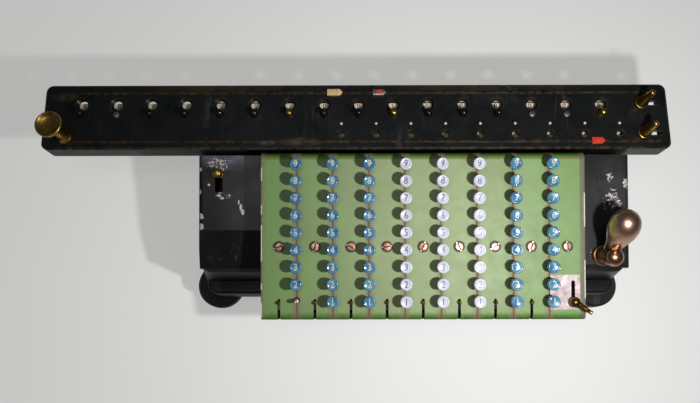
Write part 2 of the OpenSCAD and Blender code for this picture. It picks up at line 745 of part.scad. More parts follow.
module carriage_cover() {
    low = [carriage_left_x, carriage_front_y, carriage_bottom_z];
    high = [carriage_right_x, carriage_rear_y, carriage_top_z];
    wall = [carriage_wall, carriage_wall, 0];
    color(japan) difference() {
        union() {
            difference() {
                union() {
                    round_block(low, high - [0, 0, 1], 5);
                    round_block([low[0] + 1, low[1] + 1, high[2] - 1], [high[0] - 1, high[1] - 1, high[2]], 4);
                }
                round_block(low + wall - [0, 0, 1], high - wall - [0, 0, carriage_plate_t], 2.5);
            }
            for (x = [sleeve_left_x - seat_gap - ear_w, sleeve_right_x + seat_gap])
                block([x, rod_y - ear_half, rod_z - 6], [x + ear_w, rod_y + ear_half, plate_bottom_z + 1]);
            for (y = [rear_rail_y, front_rail_y])
                block([rail_left_x, y - rail_w / 2, carriage_top_z - 0.5],
                      [rail_right_x, y + rail_w / 2, carriage_top_z + rail_h]);
        }
        for (k = [0 : result_places - 1]) {
            window(result_x(k), result_y + dial_reach, result_window_r, result_bevel_r);
            translate([result_x(k), result_y, plate_bottom_z - 1])
                cylinder(r = dial_spindle_r + running_gap, h = carriage_plate_t + 2);
        }
        for (k = [0 : counter_places - 1]) {
            window(counter_x(k), counter_y - dial_reach, counter_window_r, counter_window_r + 0.8);
            translate([counter_x(k), counter_y, plate_bottom_z - 1])
                cylinder(r = counter_pin_r + running_gap, h = carriage_plate_t + 2);
        }
        handle_slot(handle_x, result_handle_y, result_slot_length);
        handle_slot(handle_x, counter_handle_y, counter_slot_length);
        translate([sleeve_left_x - 2 * ear_w, rod_y, rod_z]) rotate([0, 90, 0])
            cylinder(r = rod_r + running_gap, h = sleeve_right_x - sleeve_left_x + 4 * ear_w);
    }
}

module carriage_bridge() {
    color(steel) difference() {
        union() {
            block([carriage_left_x + bridge_end, bridge_front_y, bridge_z],
                  [carriage_right_x - bridge_end, bridge_rear_y, bridge_z + bridge_t]);
            for (x = [carriage_left_x + bridge_end, carriage_right_x - bridge_end - bridge_leg_w])
                block([x, bridge_front_y, bridge_z],
                      [x + bridge_leg_w, bridge_front_y + bridge_leg_t, plate_bottom_z]);
        }
        for (k = [0 : result_places - 1]) translate([result_x(k), result_y, bridge_z - 1])
            cylinder(r = lower_spindle_r + running_gap, h = bridge_t + 2);
        for (k = [0 : counter_places - 1]) translate([counter_x(k), counter_y, bridge_z - 1])
            cylinder(r = lower_spindle_r + running_gap, h = bridge_t + 2);
    }
}

// A ten-tooth gear as one outline
module gear_outline(r) {
    depth = 1.3;
    polygon([for (t = [0 : 9], step = [[0, r - depth], [9, r], [18, r], [27, r - depth]])
        [step[1] * cos(36 * t + step[0]), step[1] * sin(36 * t + step[0])]]);
}

module result_dial(k) {
    knob = !listed(k, missing_knobs);
    color(ivory) translate([result_x(k), result_y, 0]) {
        translate([0, 0, bridge_z - 2]) cylinder(r = lower_spindle_r, h = gear_z - bridge_z + 3);
        translate([0, 0, gear_z]) linear_extrude(height = gear_t) gear_outline(5);
        translate([0, 0, gear_z + gear_t - 1])
            cylinder(r = dial_spindle_r - 0.3, h = result_disc_z - gear_z - gear_t + 2);
        translate([0, 0, result_disc_z]) cylinder(r = dial_r, h = disc_t);
        translate([0, 0, result_disc_z + disc_t - 0.5])
            cylinder(r = dial_spindle_r, h = carriage_top_z - result_disc_z - disc_t + 1.3);
        if (knob) translate([0, 0, carriage_top_z + 0.3]) {
            cylinder(r = setting_knob_r, h = setting_knob_h - 2.3);
            translate([0, 0, setting_knob_h - 2.3]) cylinder(r1 = setting_knob_r, r2 = 1.4, h = 2);
        }
    }
}

module counter_dial(k) {
    color(ivory) translate([counter_x(k), counter_y, 0]) {
        translate([0, 0, bridge_z - 2]) cylinder(r = lower_spindle_r, h = counter_disc_z - bridge_z + 3);
        translate([0, 0, gear_z]) linear_extrude(height = gear_t) gear_outline(4);
        translate([0, 0, counter_disc_z]) cylinder(r = dial_r, h = disc_t);
        translate([0, 0, counter_disc_z + disc_t - 0.5])
            cylinder(r = counter_pin_r, h = carriage_top_z - counter_disc_z - disc_t + 1);
    }
}

module lift_knob() {
    place = [carriage_left_x + 16.7, carriage_front_y + 9.5, carriage_top_z];
    color(worn_brass) translate(place) rotate_extrude()
        polygon([[0, 0], [5.5, 0], [5.5, 1.6], [4.4, 3], [3.8, 6], [3.8, 18], [5, 22], [8.4, 24.5], [9.25, 26],
                 [9.25, 27.6], [8.2, 28], [6.5, 26.6], [0, 25.6]]);
}

// A cone-shaped clearing handle with its shank through the slot
module clearing_handle(y) {
    color(worn_brass) translate([handle_x, y, 0]) {
        translate([0, 0, carriage_top_z + seat_gap]) {
            cylinder(r1 = 5, r2 = 4.6, h = 1.5);
            translate([0, 0, 1.5]) cylinder(r1 = 4.2, r2 = 2, h = 17.5);
            translate([0, 0, 19]) sphere(r = 2.1);
        }
        translate([0, 0, plate_bottom_z - 2]) cylinder(r = handle_shank_r, h = carriage_plate_t + 3);
        translate([0, 0, plate_bottom_z - 2 - seat_gap]) cylinder(r = 3.4, h = 2);
    }
}

// A marker that straddles its rail, pointed at one end
module marker(x, y, length) {
    half = 2.3;
    difference() {
        translate([x, y, carriage_top_z + 0.05]) linear_extrude(height = 2.4)
            polygon([[0, -half], [length - 2, -half], [length, 0], [length - 2, half], [0, half]]);
        block([x - 1, y - rail_w / 2 - 0.05, carriage_top_z - 1],
              [x + length + 1, y + rail_w / 2 + 0.05, carriage_top_z + rail_h + 0.05]);
    }
}

module decimal_markers() {
    color([0.85, 0.45, 0.25]) {
        marker(result_x(7) + 2.2, rear_rail_y, 11);
        marker(result_x(8) + 10.2, rear_rail_y, 9.5);
        marker(counter_x(7) + 3.5, front_rail_y, 9.3);
    }
}

base_frame();
case_shell();
left_cover();
right_cover();
keyboard_frame();
keyboard_strips();
strip_screws();
lever_plate();
bearing_plates();
carriage_rails();
crank();
crank_grip();
cross_shaft();
cover_lever();
function_lever();
column_levers();
slide_sleeve();
carriage_cover();
carriage_bridge();
lift_knob();
clearing_handle(result_handle_y);  // result_clearing_handle
clearing_handle(counter_handle_y);  // counter_clearing_handle
decimal_markers();
for (d = [0 : drums - 1]) stepped_drum(d);
for (c = [0 : columns - 1]) keys_column(c);
for (k = [0 : result_places - 1]) result_dial(k);
for (k = [0 : counter_places - 1]) counter_dial(k);
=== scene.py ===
import math

import bpy
from mathutils import Matrix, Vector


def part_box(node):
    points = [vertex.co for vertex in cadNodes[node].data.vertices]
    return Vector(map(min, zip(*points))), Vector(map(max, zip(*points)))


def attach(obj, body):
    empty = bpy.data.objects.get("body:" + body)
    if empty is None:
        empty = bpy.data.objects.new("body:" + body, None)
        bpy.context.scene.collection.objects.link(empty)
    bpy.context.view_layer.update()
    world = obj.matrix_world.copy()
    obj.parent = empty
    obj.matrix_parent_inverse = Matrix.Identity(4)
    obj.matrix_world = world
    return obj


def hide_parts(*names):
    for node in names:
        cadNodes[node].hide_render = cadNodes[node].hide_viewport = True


# Calculating machine: dresses the CAD frame with turned, moulded and painted pieces.
# Shapes are drawn in millimetres and made metres when they are put in their place.

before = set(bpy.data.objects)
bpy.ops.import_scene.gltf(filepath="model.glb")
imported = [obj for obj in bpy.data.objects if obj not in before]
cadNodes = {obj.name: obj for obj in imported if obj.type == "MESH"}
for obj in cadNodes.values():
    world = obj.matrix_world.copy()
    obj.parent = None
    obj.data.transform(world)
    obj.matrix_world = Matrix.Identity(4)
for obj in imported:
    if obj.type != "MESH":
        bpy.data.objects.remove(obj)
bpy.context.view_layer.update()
print("frame loaded,", len(cadNodes), "nodes")

toMetres = Matrix.Scale(0.001, 4)

keyboard = {
    "slope": math.radians(12.0),
    "frontY": -96.0,
    "frontZ": 86.4,
    "halfWidth": 112.5,
    "length": 116.5,
    "firstRow": 14.0,  # up the slope from the front edge
    "rowPitch": 11.73,
    "screwRow": 51.0,
    "leverRow": 12.6,
}


def uprightPlace(x, y, z, turn=0.0):
    return toMetres @ Matrix.Translation((x, y, z)) @ Matrix.Rotation(turn, 4, "Z")


def keyboardPlace(x, v, w, turn=0.0):
    corner = Matrix.Translation((0.0, keyboard["frontY"], keyboard["frontZ"]))
    tilt = Matrix.Rotation(keyboard["slope"], 4, "X")
    spot = Matrix.Translation((x, v, w)) @ Matrix.Rotation(turn, 4, "Z")
    return toMetres @ corner @ tilt @ spot


def nodeMiddle(name):
    low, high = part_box(name)
    return (low + high) * 500.0  # millimetres


# Modelling helpers

def deselectAll():
    if bpy.context.object and bpy.context.object.mode != "OBJECT":
        bpy.ops.object.mode_set(mode="OBJECT")
    bpy.ops.object.select_all(action="DESELECT")


def pick(shape):
    deselectAll()
    shape.select_set(True)
    bpy.context.view_layer.objects.active = shape


def newShape(name):
    # the object that the last operator added
    shape = bpy.context.object
    shape.name = name
    return shape


def clearSelection(shape):
    for part in list(shape.data.vertices) + list(shape.data.edges) + list(shape.data.polygons):
        part.select = False


def turnOutwards():
    # ends edit mode with every face pointing outwards
    bpy.ops.mesh.select_all(action="SELECT")
    bpy.ops.mesh.normals_make_consistent(inside=False)
    bpy.ops.object.mode_set(mode="OBJECT")


def smoothed(piece, angle=38.0):
    pick(piece)
    bpy.ops.object.shade_smooth_by_angle(angle=math.radians(angle))
    return piece


def turnedShape(name, rings, sides=40, angle=38.0):
    # rings is a list of (radius, height), from one end of the piece to the other
    deselectAll()
    radius, height = rings[0]
    bpy.ops.mesh.primitive_circle_add(
        vertices=sides, radius=radius, fill_type="NGON", location=(0, 0, height))
    shape = newShape(name)
    bpy.ops.object.transform_apply(location=True, rotation=False, scale=False)
    bpy.ops.object.mode_set(mode="EDIT")
    bpy.ops.mesh.select_all(action="SELECT")
    for nextRadius, nextHeight in rings[1:]:
        bpy.ops.mesh.extrude_region_move(TRANSFORM_OT_translate={"value": (0, 0, nextHeight - height)})
        share = nextRadius / radius
        bpy.ops.transform.resize(value=(share, share, 1), center_override=(0, 0, nextHeight))
        radius = nextRadius
        height = nextHeight
    turnOutwards()
    return smoothed(shape, angle)


def ballRings(radius, middle, start, end, steps):
    # start and end are angles from the bottom of the ball, in degrees
    rings = []
    for step in range(steps + 1):
        angle = math.radians(start + (end - start) * step / steps)
        rings.append((max(radius * math.sin(angle), 0.05), middle - radius * math.cos(angle)))
    return rings


def blockShape(name, low, high, edge=0.3):
    deselectAll()
    middle = [(a + b) / 2 for a, b in zip(low, high)]
    bpy.ops.mesh.primitive_cube_add(size=1, location=middle)
    shape = newShape(name)
    shape.scale = [b - a for a, b in zip(low, high)]
    bpy.ops.object.transform_apply(location=True, rotation=False, scale=True)
    if edge:
        softenEdges(shape, edge)
    return shape


def softenEdges(shape, width, segments=2, angle=30.0):
    pick(shape)
    bevel = shape.modifiers.new("soften", "BEVEL")
    bevel.width = width
    bevel.segments = segments
    bevel.limit_method = "ANGLE"
    bevel.angle_limit = math.radians(angle)
    bpy.ops.object.modifier_apply(modifier=bevel.name)
    return smoothed(shape)


def cutAway(shape, cutter):
    pick(shape)
    cut = shape.modifiers.new("cut", "BOOLEAN")
    cut.operation = "DIFFERENCE"
    cut.solver = "EXACT"
    cut.object = cutter
    bpy.ops.object.modifier_apply(modifier=cut.name)
    bpy.data.objects.remove(cutter, do_unlink=True)
    return shape


def gearShape(name, radius, depth, teeth, thickness):
    # four points to a tooth, and the two in each gap are drawn in
    deselectAll()
    bpy.ops.mesh.primitive_circle_add(vertices=4 * teeth, radius=radius, fill_type="NGON")
    shape = newShape(name)
    clearSelection(shape)
    for vertex in shape.data.vertices:
        vertex.select = vertex.index % 4 in (0, 3)
    share = (radius - depth) / radius
    bpy.ops.object.mode_set(mode="EDIT")
    bpy.ops.mesh.select_mode(type="VERT")
    bpy.ops.transform.resize(value=(share, share, 1), center_override=(0, 0, 0))
    bpy.ops.mesh.select_all(action="SELECT")
    bpy.ops.mesh.extrude_region_move(TRANSFORM_OT_translate={"value": (0, 0, thickness)})
    turnOutwards()
    return shape


def numeralShapes(size, width, thickness, weight):
    shapes = []
    for digit in range(10):
        deselectAll()
        bpy.ops.object.text_add(location=(0, 0, 0))
        numeral = bpy.context.object
        numeral.data.body = str(digit)
        numeral.data.size = size
        numeral.data.align_x = "CENTER"
        numeral.data.align_y = "CENTER"
        numeral.data.extrude = thickness
        numeral.data.offset = weight
        numeral.data.resolution_u = 3
        bpy.ops.object.convert(target="MESH")
        numeral = bpy.context.object
        numeral.scale = (width, 1, 1)
        bpy.ops.object.transform_apply(location=False, rotation=False, scale=True)
        bpy.ops.object.mode_set(mode="EDIT")
        bpy.ops.mesh.select_all(action="SELECT")
        bpy.ops.mesh.remove_doubles(threshold=0.005)
        turnOutwards()
        shapes.append(numeral)
    return shapes


def placedCopy(shape, place):
    piece = shape.copy()
    piece.data = shape.data.copy()
    piece.data.transform(place)
    bpy.context.collection.objects.link(piece)
    return piece


def joined(name, parts):
    deselectAll()
    for part in parts:
        part.select_set(True)
    bpy.context.view_layer.objects.active = parts[0]
    if len(parts) > 1:
        bpy.ops.object.join()
    piece = bpy.context.object
    piece.name = name
    piece.data.name = name
    return piece


def putAway(shapes):
    for shape in shapes:
        bpy.data.objects.remove(shape, do_unlink=True)


def fitPiece(name, parts, body, slotName, material, *nodes):
    piece = joined(name, parts)
    piece.data.materials.clear()
    piece.data.materials.append(material)
    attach(piece, body)
    if nodes:
        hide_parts(*nodes)


# Material helpers

def paint(red, green, blue):
    # a colour as it is seen, 0 to 255, turned into the linear one that a shader takes
    parts = []
    for part in (red, green, blue):
        share = part / 255
        parts.append(share / 12.92 if share <= 0.04045 else ((share + 0.055) / 1.055) ** 2.4)
    return (parts[0], parts[1], parts[2], 1.0)


def feed(tree, socket, value):
    if isinstance(value, bpy.types.NodeSocket):
        tree.links.new(value, socket)
    else:
        socket.default_value = value


def mathNode(tree, operation, first, second=0.0, clamp=False):
    node = tree.nodes.new("ShaderNodeMath")
    node.operation = operation
    node.use_clamp = clamp
    feed(tree, node.inputs[0], first)
    feed(tree, node.inputs[1], second)
    return node.outputs[0]


def times(tree, first, second, clamp=False):
    return mathNode(tree, "MULTIPLY", first, second, clamp)


def plus(tree, first, second, clamp=False):
    return mathNode(tree, "ADD", first, second, clamp)


def minus(tree, first, second):
    return mathNode(tree, "SUBTRACT", first, second)


def larger(tree, first, second):
    return mathNode(tree, "MAXIMUM", first, second)


def absolute(tree, value):
    return mathNode(tree, "ABSOLUTE", value)


def vectorNode(tree, operation, first, second=None, output="Vector"):
    node = tree.nodes.new("ShaderNodeVectorMath")
    node.operation = operation
    feed(tree, node.inputs[0], first)
    if second is not None:
        feed(tree, node.inputs[1], second)
    return node.outputs[output]


def spread(tree, value, low, high, outLow=0.0, outHigh=1.0):
    node = tree.nodes.new("ShaderNodeMapRange")
    amounts = {"Value": value, "From Min": low, "From Max": high, "To Min": outLow, "To Max": outHigh}
    for label, amount in amounts.items():
        feed(tree, node.inputs[label], amount)
    return node.outputs["Result"]


def blended(tree, share, under, over):
    node = tree.nodes.new("ShaderNodeMix")
    node.data_type = "RGBA"
    feed(tree, node.inputs[0], share)
    feed(tree, node.inputs[6], under)
    feed(tree, node.inputs[7], over)
    return node.outputs[2]


def cloud(tree, place, scale, detail=4.0, roughness=0.6, distortion=0.0):
    node = tree.nodes.new("ShaderNodeTexNoise")
    feed(tree, node.inputs["Vector"], place)
    feed(tree, node.inputs["Scale"], scale)
    node.inputs["Detail"].default_value = detail
    node.inputs["Roughness"].default_value = roughness
    node.inputs["Distortion"].default_value = distortion
    return node.outputs["Fac"]


def stretched(tree, place, scale, turn=(0.0, 0.0, 0.0), move=(0.0, 0.0, 0.0)):
    node = tree.nodes.new("ShaderNodeMapping")
    feed(tree, node.inputs["Vector"], place)
    node.inputs["Scale"].default_value = scale
    node.inputs["Rotation"].default_value = turn
    node.inputs["Location"].default_value = move
    return node.outputs["Vector"]


def bumped(tree, height, strength, distance=0.0002):
    node = tree.nodes.new("ShaderNodeBump")
    node.inputs["Strength"].default_value = strength
    node.inputs["Distance"].default_value = distance
    feed(tree, node.inputs["Height"], height)
    return node.outputs["Normal"]


def apart(tree, vector):
    node = tree.nodes.new("ShaderNodeSeparateXYZ")
    feed(tree, node.inputs[0], vector)
    return node.outputs["X"], node.outputs["Y"], node.outputs["Z"]


def newEffect(name, gives, **takes):
    # every effect takes a place; of the rest a tuple is a vector and all else a number
    group = bpy.data.node_groups.new(name, "ShaderNodeTree")
    group.interface.new_socket(name="Place", in_out="INPUT", socket_type="NodeSocketVector")
    for label, value in takes.items():
        kind = "NodeSocketVector" if isinstance(value, tuple) else "NodeSocketFloat"
        socket = group.interface.new_socket(name=label, in_out="INPUT", socket_type=kind)
        socket.default_value = value
    group.interface.new_socket(name=gives, in_out="OUTPUT", socket_type="NodeSocketFloat")
    entry = group.nodes.new("NodeGroupInput")
    leave = group.nodes.new("NodeGroupOutput")
    return group, entry.outputs, leave.inputs


def effect(tree, name, **values):
    node = tree.nodes.new("ShaderNodeGroup")
    node.node_tree = effects[name]
    for label, value in values.items():
        feed(tree, node.inputs[label], value)
    return node.outputs[0]


def newMaterial(name):
    material = bpy.data.materials.new(name)
    material.use_nodes = True
    tree = material.node_tree
    shader = tree.nodes["Principled BSDF"]
    place = tree.nodes.new("ShaderNodeTexCoord").outputs["Object"]
    return material, tree, shader.inputs, place


# Shared effects

def makeWornEdges():
    group, take, give = newEffect("wornEdges", "Mask", Reach=0.0006, Grain=300.0, Amount=1.0)
    bevel = group.nodes.new("ShaderNodeBevel")
    bevel.samples = 6
    feed(group, bevel.inputs["Radius"], take["Reach"])
    surface = group.nodes.new("ShaderNodeNewGeometry")
    rounded = bevel.outputs["Normal"]
    agreement = vectorNode(group, "DOT_PRODUCT", rounded, surface.outputs["Normal"], "Value")
    edge = spread(group, agreement, 0.995, 0.86)
    speckle = cloud(group, take["Place"], scale=take["Grain"], detail=5.0, roughness=0.7)
    ragged = spread(group, speckle, 0.40, 0.62)
    feed(group, give["Mask"], times(group, times(group, edge, ragged), take["Amount"], clamp=True))
    return group


def makeChips():
    group, take, give = newEffect("chips", "Mask", Grain=200.0, Cover=0.1)
    speckle = cloud(
        group, take["Place"], scale=take["Grain"], detail=7.0, roughness=0.68, distortion=0.4)
    level = minus(group, 0.80, times(group, take["Cover"], 0.42))
    depth = minus(group, speckle, level)
    feed(group, give["Mask"], times(group, depth, 30.0, clamp=True))
    return group


def makeHairlines():
    group, take, give = newEffect("hairlines", "Mask", Grain=60.0, Cover=0.5)
    masks = []
    for turn in (0.35, 1.9):
        drawn = stretched(group, take["Place"], (1.0, 0.05, 1.0), turn=(0.0, 0.0, turn))
        lines = cloud(group, drawn, scale=take["Grain"], detail=2.0, roughness=0.5, distortion=0.3)
        thin = spread(group, absolute(group, minus(group, lines, 0.5)), 0.006, 0.0)
        masks.append(thin)
    both = larger(group, masks[0], masks[1])
    broken = spread(group, cloud(group, take["Place"], scale=35.0, detail=3.0), 0.52, 0.66)
    feed(group, give["Mask"], times(group, times(group, both, broken), take["Cover"], clamp=True))
    return group


def makePatch():
    group, take, give = newEffect(
        "patch", "Mask", Middle=(0.0, 0.0, 0.0), Squeeze=(1.0, 1.0, 1.0), Reach=0.01)
    offset = vectorNode(group, "SUBTRACT", take["Place"], take["Middle"])
    squeezed = vectorNode(group, "MULTIPLY", offset, take["Squeeze"])
    gap = vectorNode(group, "LENGTH", squeezed, output="Value")
    feed(group, give["Mask"], spread(group, gap, take["Reach"], 0.0))
    return group


def makeDust():
    group, take, give = newEffect("dust", "Mask", Grain=90.0, Amount=0.3)
    surface = group.nodes.new("ShaderNodeNewGeometry")
    up = apart(group, surface.outputs["Normal"])[2]
    lying = spread(group, up, 0.3, 0.95)
    speckle = cloud(group, take["Place"], scale=take["Grain"], detail=6.0, roughness=0.7)
    film = spread(group, speckle, 0.35, 0.75)
    feed(group, give["Mask"], times(group, times(group, lying, film), take["Amount"], clamp=True))
    return group


def makeGrain():
    group, take, give = newEffect("grain", "Height", Coarse=120.0, Fine=900.0)
    coarse = cloud(group, take["Place"], scale=take["Coarse"], detail=3.0, roughness=0.5)
    fine = cloud(group, take["Place"], scale=take["Fine"], detail=2.0, roughness=0.6)
    feed(group, give["Height"], plus(group, coarse, times(group, fine, 0.35)))
    return group


effects = {
    "wornEdges": makeWornEdges(),
    "chips": makeChips(),
    "hairlines": makeHairlines(),
    "patch": makePatch(),
    "dust": makeDust(),
    "grain": makeGrain(),
}
print("shared effects built:", len(effects))


# Finishes

def japanFinish(name, look):
    # black lacquer over iron and sheet: gloss, worn edges, chips, haze and a painted sheen in places,
    # hairlines, dust
    material, tree, shader, place = newMaterial(name)
    fading = spread(tree, cloud(tree, place, scale=14.0, detail=5.0), 0.35, 0.7)
    tone = blended(tree, fading, look["deep"], look["faded"])
    smear = cloud(tree, place, scale=60.0, detail=5.0, roughness=0.65, distortion=0.5)
    smear = spread(tree, smear, 0.3, 0.62)
    # paler patches: haze, and on the left cover a painted sheen along the rear of the deck
    for middle, squeeze, reach, share, colour in look["hazeAndSheen"]:
        patch = effect(tree, "patch", Place=place, Middle=middle, Squeeze=squeeze, Reach=reach)
        cover = times(tree, spread(tree, patch, 0.0, 0.6, 0.0, share), smear)
        tone = blended(tree, cover, tone, colour)
    dust = effect(tree, "dust", Place=place, Grain=70.0, Amount=look["dust"])
    tone = blended(tree, dust, tone, look["dustColour"])
    lines = effect(tree, "hairlines", Place=place, Grain=55.0, Cover=look["hairlines"])
    tone = blended(tree, lines, tone, look["lineColour"])
    edges = effect(tree, "wornEdges", Place=place, Reach=look["edgeReach"], Grain=260.0,
                   Amount=look["edgeWear"])
    tone = blended(tree, edges, tone, look["bare"])
    bared = edges
    for middle, squeeze, reach, cover in look["chipped"]:
        patch = effect(tree, "patch", Place=place, Middle=middle, Squeeze=squeeze, Reach=reach)
        worn = times(tree, spread(tree, patch, 0.0, 0.5), cover)
        chips = effect(tree, "chips", Place=place, Grain=look["chipGrain"], Cover=worn)
        chips = times(tree, chips, spread(tree, patch, 0.0, 0.15))
        tone = blended(tree, chips, tone, look["chipColour"])
        bared = larger(tree, bared, chips)
    feed(tree, shader["Base Color"], tone)
    gloss = spread(tree, cloud(tree, place, scale=40.0, detail=4.0), 0.3, 0.75, *look["gloss"])
    gloss = plus(tree, gloss, times(tree, bared, look["bareRough"]), clamp=True)
    feed(tree, shader["Roughness"], gloss)
    shader["Specular IOR Level"].default_value = look["specular"]
    shader["Coat Weight"].default_value = look["coat"]
    shader["Coat Roughness"].default_value = 0.12
    height = effect(tree, "grain", Place=place, Coarse=look["grain"][0], Fine=look["grain"][1])
    height = minus(tree, height, times(tree, bared, look["bareDepth"]))
    feed(tree, shader["Normal"], bumped(tree, height, look["bump"]))
    return material


caseLook = {
    "deep": paint(10, 11, 12),
    "faded": paint(20, 21, 22),
    "dust": 0.07,
    "dustColour": paint(84, 84, 82),
    "hairlines": 0.4,
    "lineColour": paint(88, 88, 86),
    "edgeReach": 0.0007,
    "edgeWear": 0.6,
    "bare": paint(104, 84, 62),
    "hazeAndSheen": [],
    "chipped": [],
    "chipGrain": 260.0,
    "chipColour": paint(190, 186, 178),
    "gloss": (0.34, 0.54),
    "bareRough": 0.25,  # added where the lacquer is gone
    "bareDepth": 1.6,
    "specular": 0.28,
    "coat": 0.08,
    "grain": (110.0, 800.0),
    "bump": 0.22,
}
baseLook = dict(
    caseLook,
    faded=paint(34, 30, 26),
    dust=0.22,
    edgeWear=1.0,
    bare=paint(128, 98, 66),
    gloss=(0.42, 0.62),
    coat=0.0,
)
even = (1.0, 1.0, 1.0)
leftCoverLook = dict(
    caseLook,
    hazeAndSheen=[
        # painted sheen: a pale bluish reflection along the rear of the deck
        ((-0.140, 0.0205, 0.0905), (0.6, 1.7, 1.0), 0.018, 0.85, paint(104, 110, 124)),
        ((-0.128, -0.012, 0.084), even, 0.016, 0.35, paint(58, 62, 66)),
    ],
    chipped=[
        ((-0.1455, 0.0155, 0.0897), (0.8, 1.4, 1.0), 0.011, 0.7),
        ((-0.1528, 0.0011, 0.0866), even, 0.0012, 1.6),
        ((-0.1421, -0.0062, 0.085), (0.7, 1.4, 1.0), 0.006, 0.68),
        ((-0.1447, -0.0067, 0.0849), even, 0.0010, 1.6),
        ((-0.1312, -0.0112, 0.0840), (2.0, 0.7, 1.0), 0.0015, 1.6),
        ((-0.1297, -0.0148, 0.0832), (1.5, 0.6, 1.0), 0.0018, 1.6),
        ((-0.1282, -0.0182, 0.0825), (1.3, 0.8, 1.0), 0.0022, 1.6),
        ((-0.1598, 0.0124, 0.089), even, 0.003, 0.8),
        ((-0.1598, -0.0039, 0.0855), even, 0.003, 0.8),
        ((-0.1596, -0.0212, 0.0818), even, 0.0042, 0.9),
        ((-0.1592, -0.0282, 0.0803), even, 0.0042, 0.9),
    ],
    chipColour=paint(222, 206, 196),
    chipGrain=520.0,
    gloss=(0.30, 0.46),
)
rightCoverLook = dict(
    caseLook,
    deep=paint(20, 22, 21),
    faded=paint(34, 38, 36),
    hazeAndSheen=[
        ((0.137, -0.008, 0.085), (1.0, 0.8, 1.0), 0.024, 0.4, paint(78, 80, 80)),
        ((0.142, 0.012, 0.089), even, 0.014, 0.35, paint(74, 76, 78)),
    ],
    chipped=[
        ((0.1395, -0.0095, 0.0845), (1.6, 0.8, 1.0), 0.011, 0.66),
        ((0.1430, -0.0125, 0.0838), even, 0.005, 0.75),
        ((0.1345, -0.0115, 0.084), (1.8, 0.7, 1.0), 0.008, 0.6),
        ((0.1372, 0.0060, 0.0878), even, 0.005, 0.7),
        ((0.1490, 0.0015, 0.0868), (1.2, 0.8, 1.0), 0.005, 0.7),
    ],
    chipColour=paint(226, 210, 210),
    chipGrain=560.0,
    gloss=(0.30, 0.46),
)
carriageLook = dict(
    caseLook,
    deep=paint(13, 15, 16),
    faded=paint(27, 29, 29),
    dust=0.10,
    bare=paint(142, 116, 72),
    hazeAndSheen=[
        ((-0.2570, 0.0635, 0.100), (0.7, 2.0, 1.0), 0.008, 0.75, paint(84, 80, 52)),
        ((-0.0860, 0.0290, 0.100), (0.6, 2.4, 1.0), 0.010, 0.6, paint(104, 92, 80)),
        ((-0.1100, 0.0285, 0.100), (0.8, 2.4, 1.0), 0.006, 0.6, paint(86, 90, 92)),
        ((-0.1500, 0.0705, 0.100), (0.12, 1.6, 1.0), 0.008, 0.6, paint(72, 58, 30)),
        ((0.0250, 0.0705, 0.100), (0.14, 1.6, 1.0), 0.007, 0.6, paint(66, 52, 28)),
        ((0.1000, 0.0710, 0.100), (0.2, 1.8, 1.0), 0.006, 0.5, paint(70, 54, 26)),
    ],
    edgeWear=0.9,
    edgeReach=0.0006,
    gloss=(0.30, 0.48),
    hairlines=0.35,
)
frameLook = dict(caseLook, faded=paint(28, 27, 26), gloss=(0.4, 0.6), coat=0.0)
knobLook = dict(caseLook, gloss=(0.12, 0.22), coat=0.5, edgeWear=0.2, dust=0.02)

caseJapan = japanFinish("caseJapan", caseLook)
baseJapan = japanFinish("baseJapan", baseLook)
leftJapan = japanFinish("leftCoverJapan", leftCoverLook)
rightJapan = japanFinish("rightCoverJapan", rightCoverLook)
carriageJapan = japanFinish("carriageJapan", carriageLook)
frameJapan = japanFinish("frameJapan", frameLook)
knobBlack = japanFinish("knobBlack", knobLook)


greenLook = {
    "middle": paint(150, 170, 118),
    "sides": paint(118, 160, 86),
    "rolls": paint(84, 134, 36),
    "rollEdge": paint(38, 46, 14),
    "rust": paint(138, 98, 74),
    "stain": paint(132, 126, 96),
    "cream": paint(232, 224, 204),
    "band": paint(104, 98, 84),
    "seamPitch": 12.5,  # half the distance between seams
    "seamShift": 387.5,  # moves a seam onto a fold of the repeating ramp
    "screwShift": 400.0,  # and this one a screw
    "screwDirtAndShadeRing": (3.7, 3.2),  # radii between which the dark ring round a screw fades in: dirt and painted shade
    "speckGrain": 420.0,
    "specks": 0.12,
    "gloss": (0.46, 0.6),
    "grain": (140.0, 1100.0),
    "bump": 0.12,
    "rollWidth": 4.5,
    "bandStart": 108.7,
    "creamLeft": [(106.0, 97.0), (80.0, 73.5), (66.0, 41.0), (25.5, 21.0), (12.5, 2.0)],
    "creamRight": [(88.5, 64.5), (41.5, 15.0)],
}


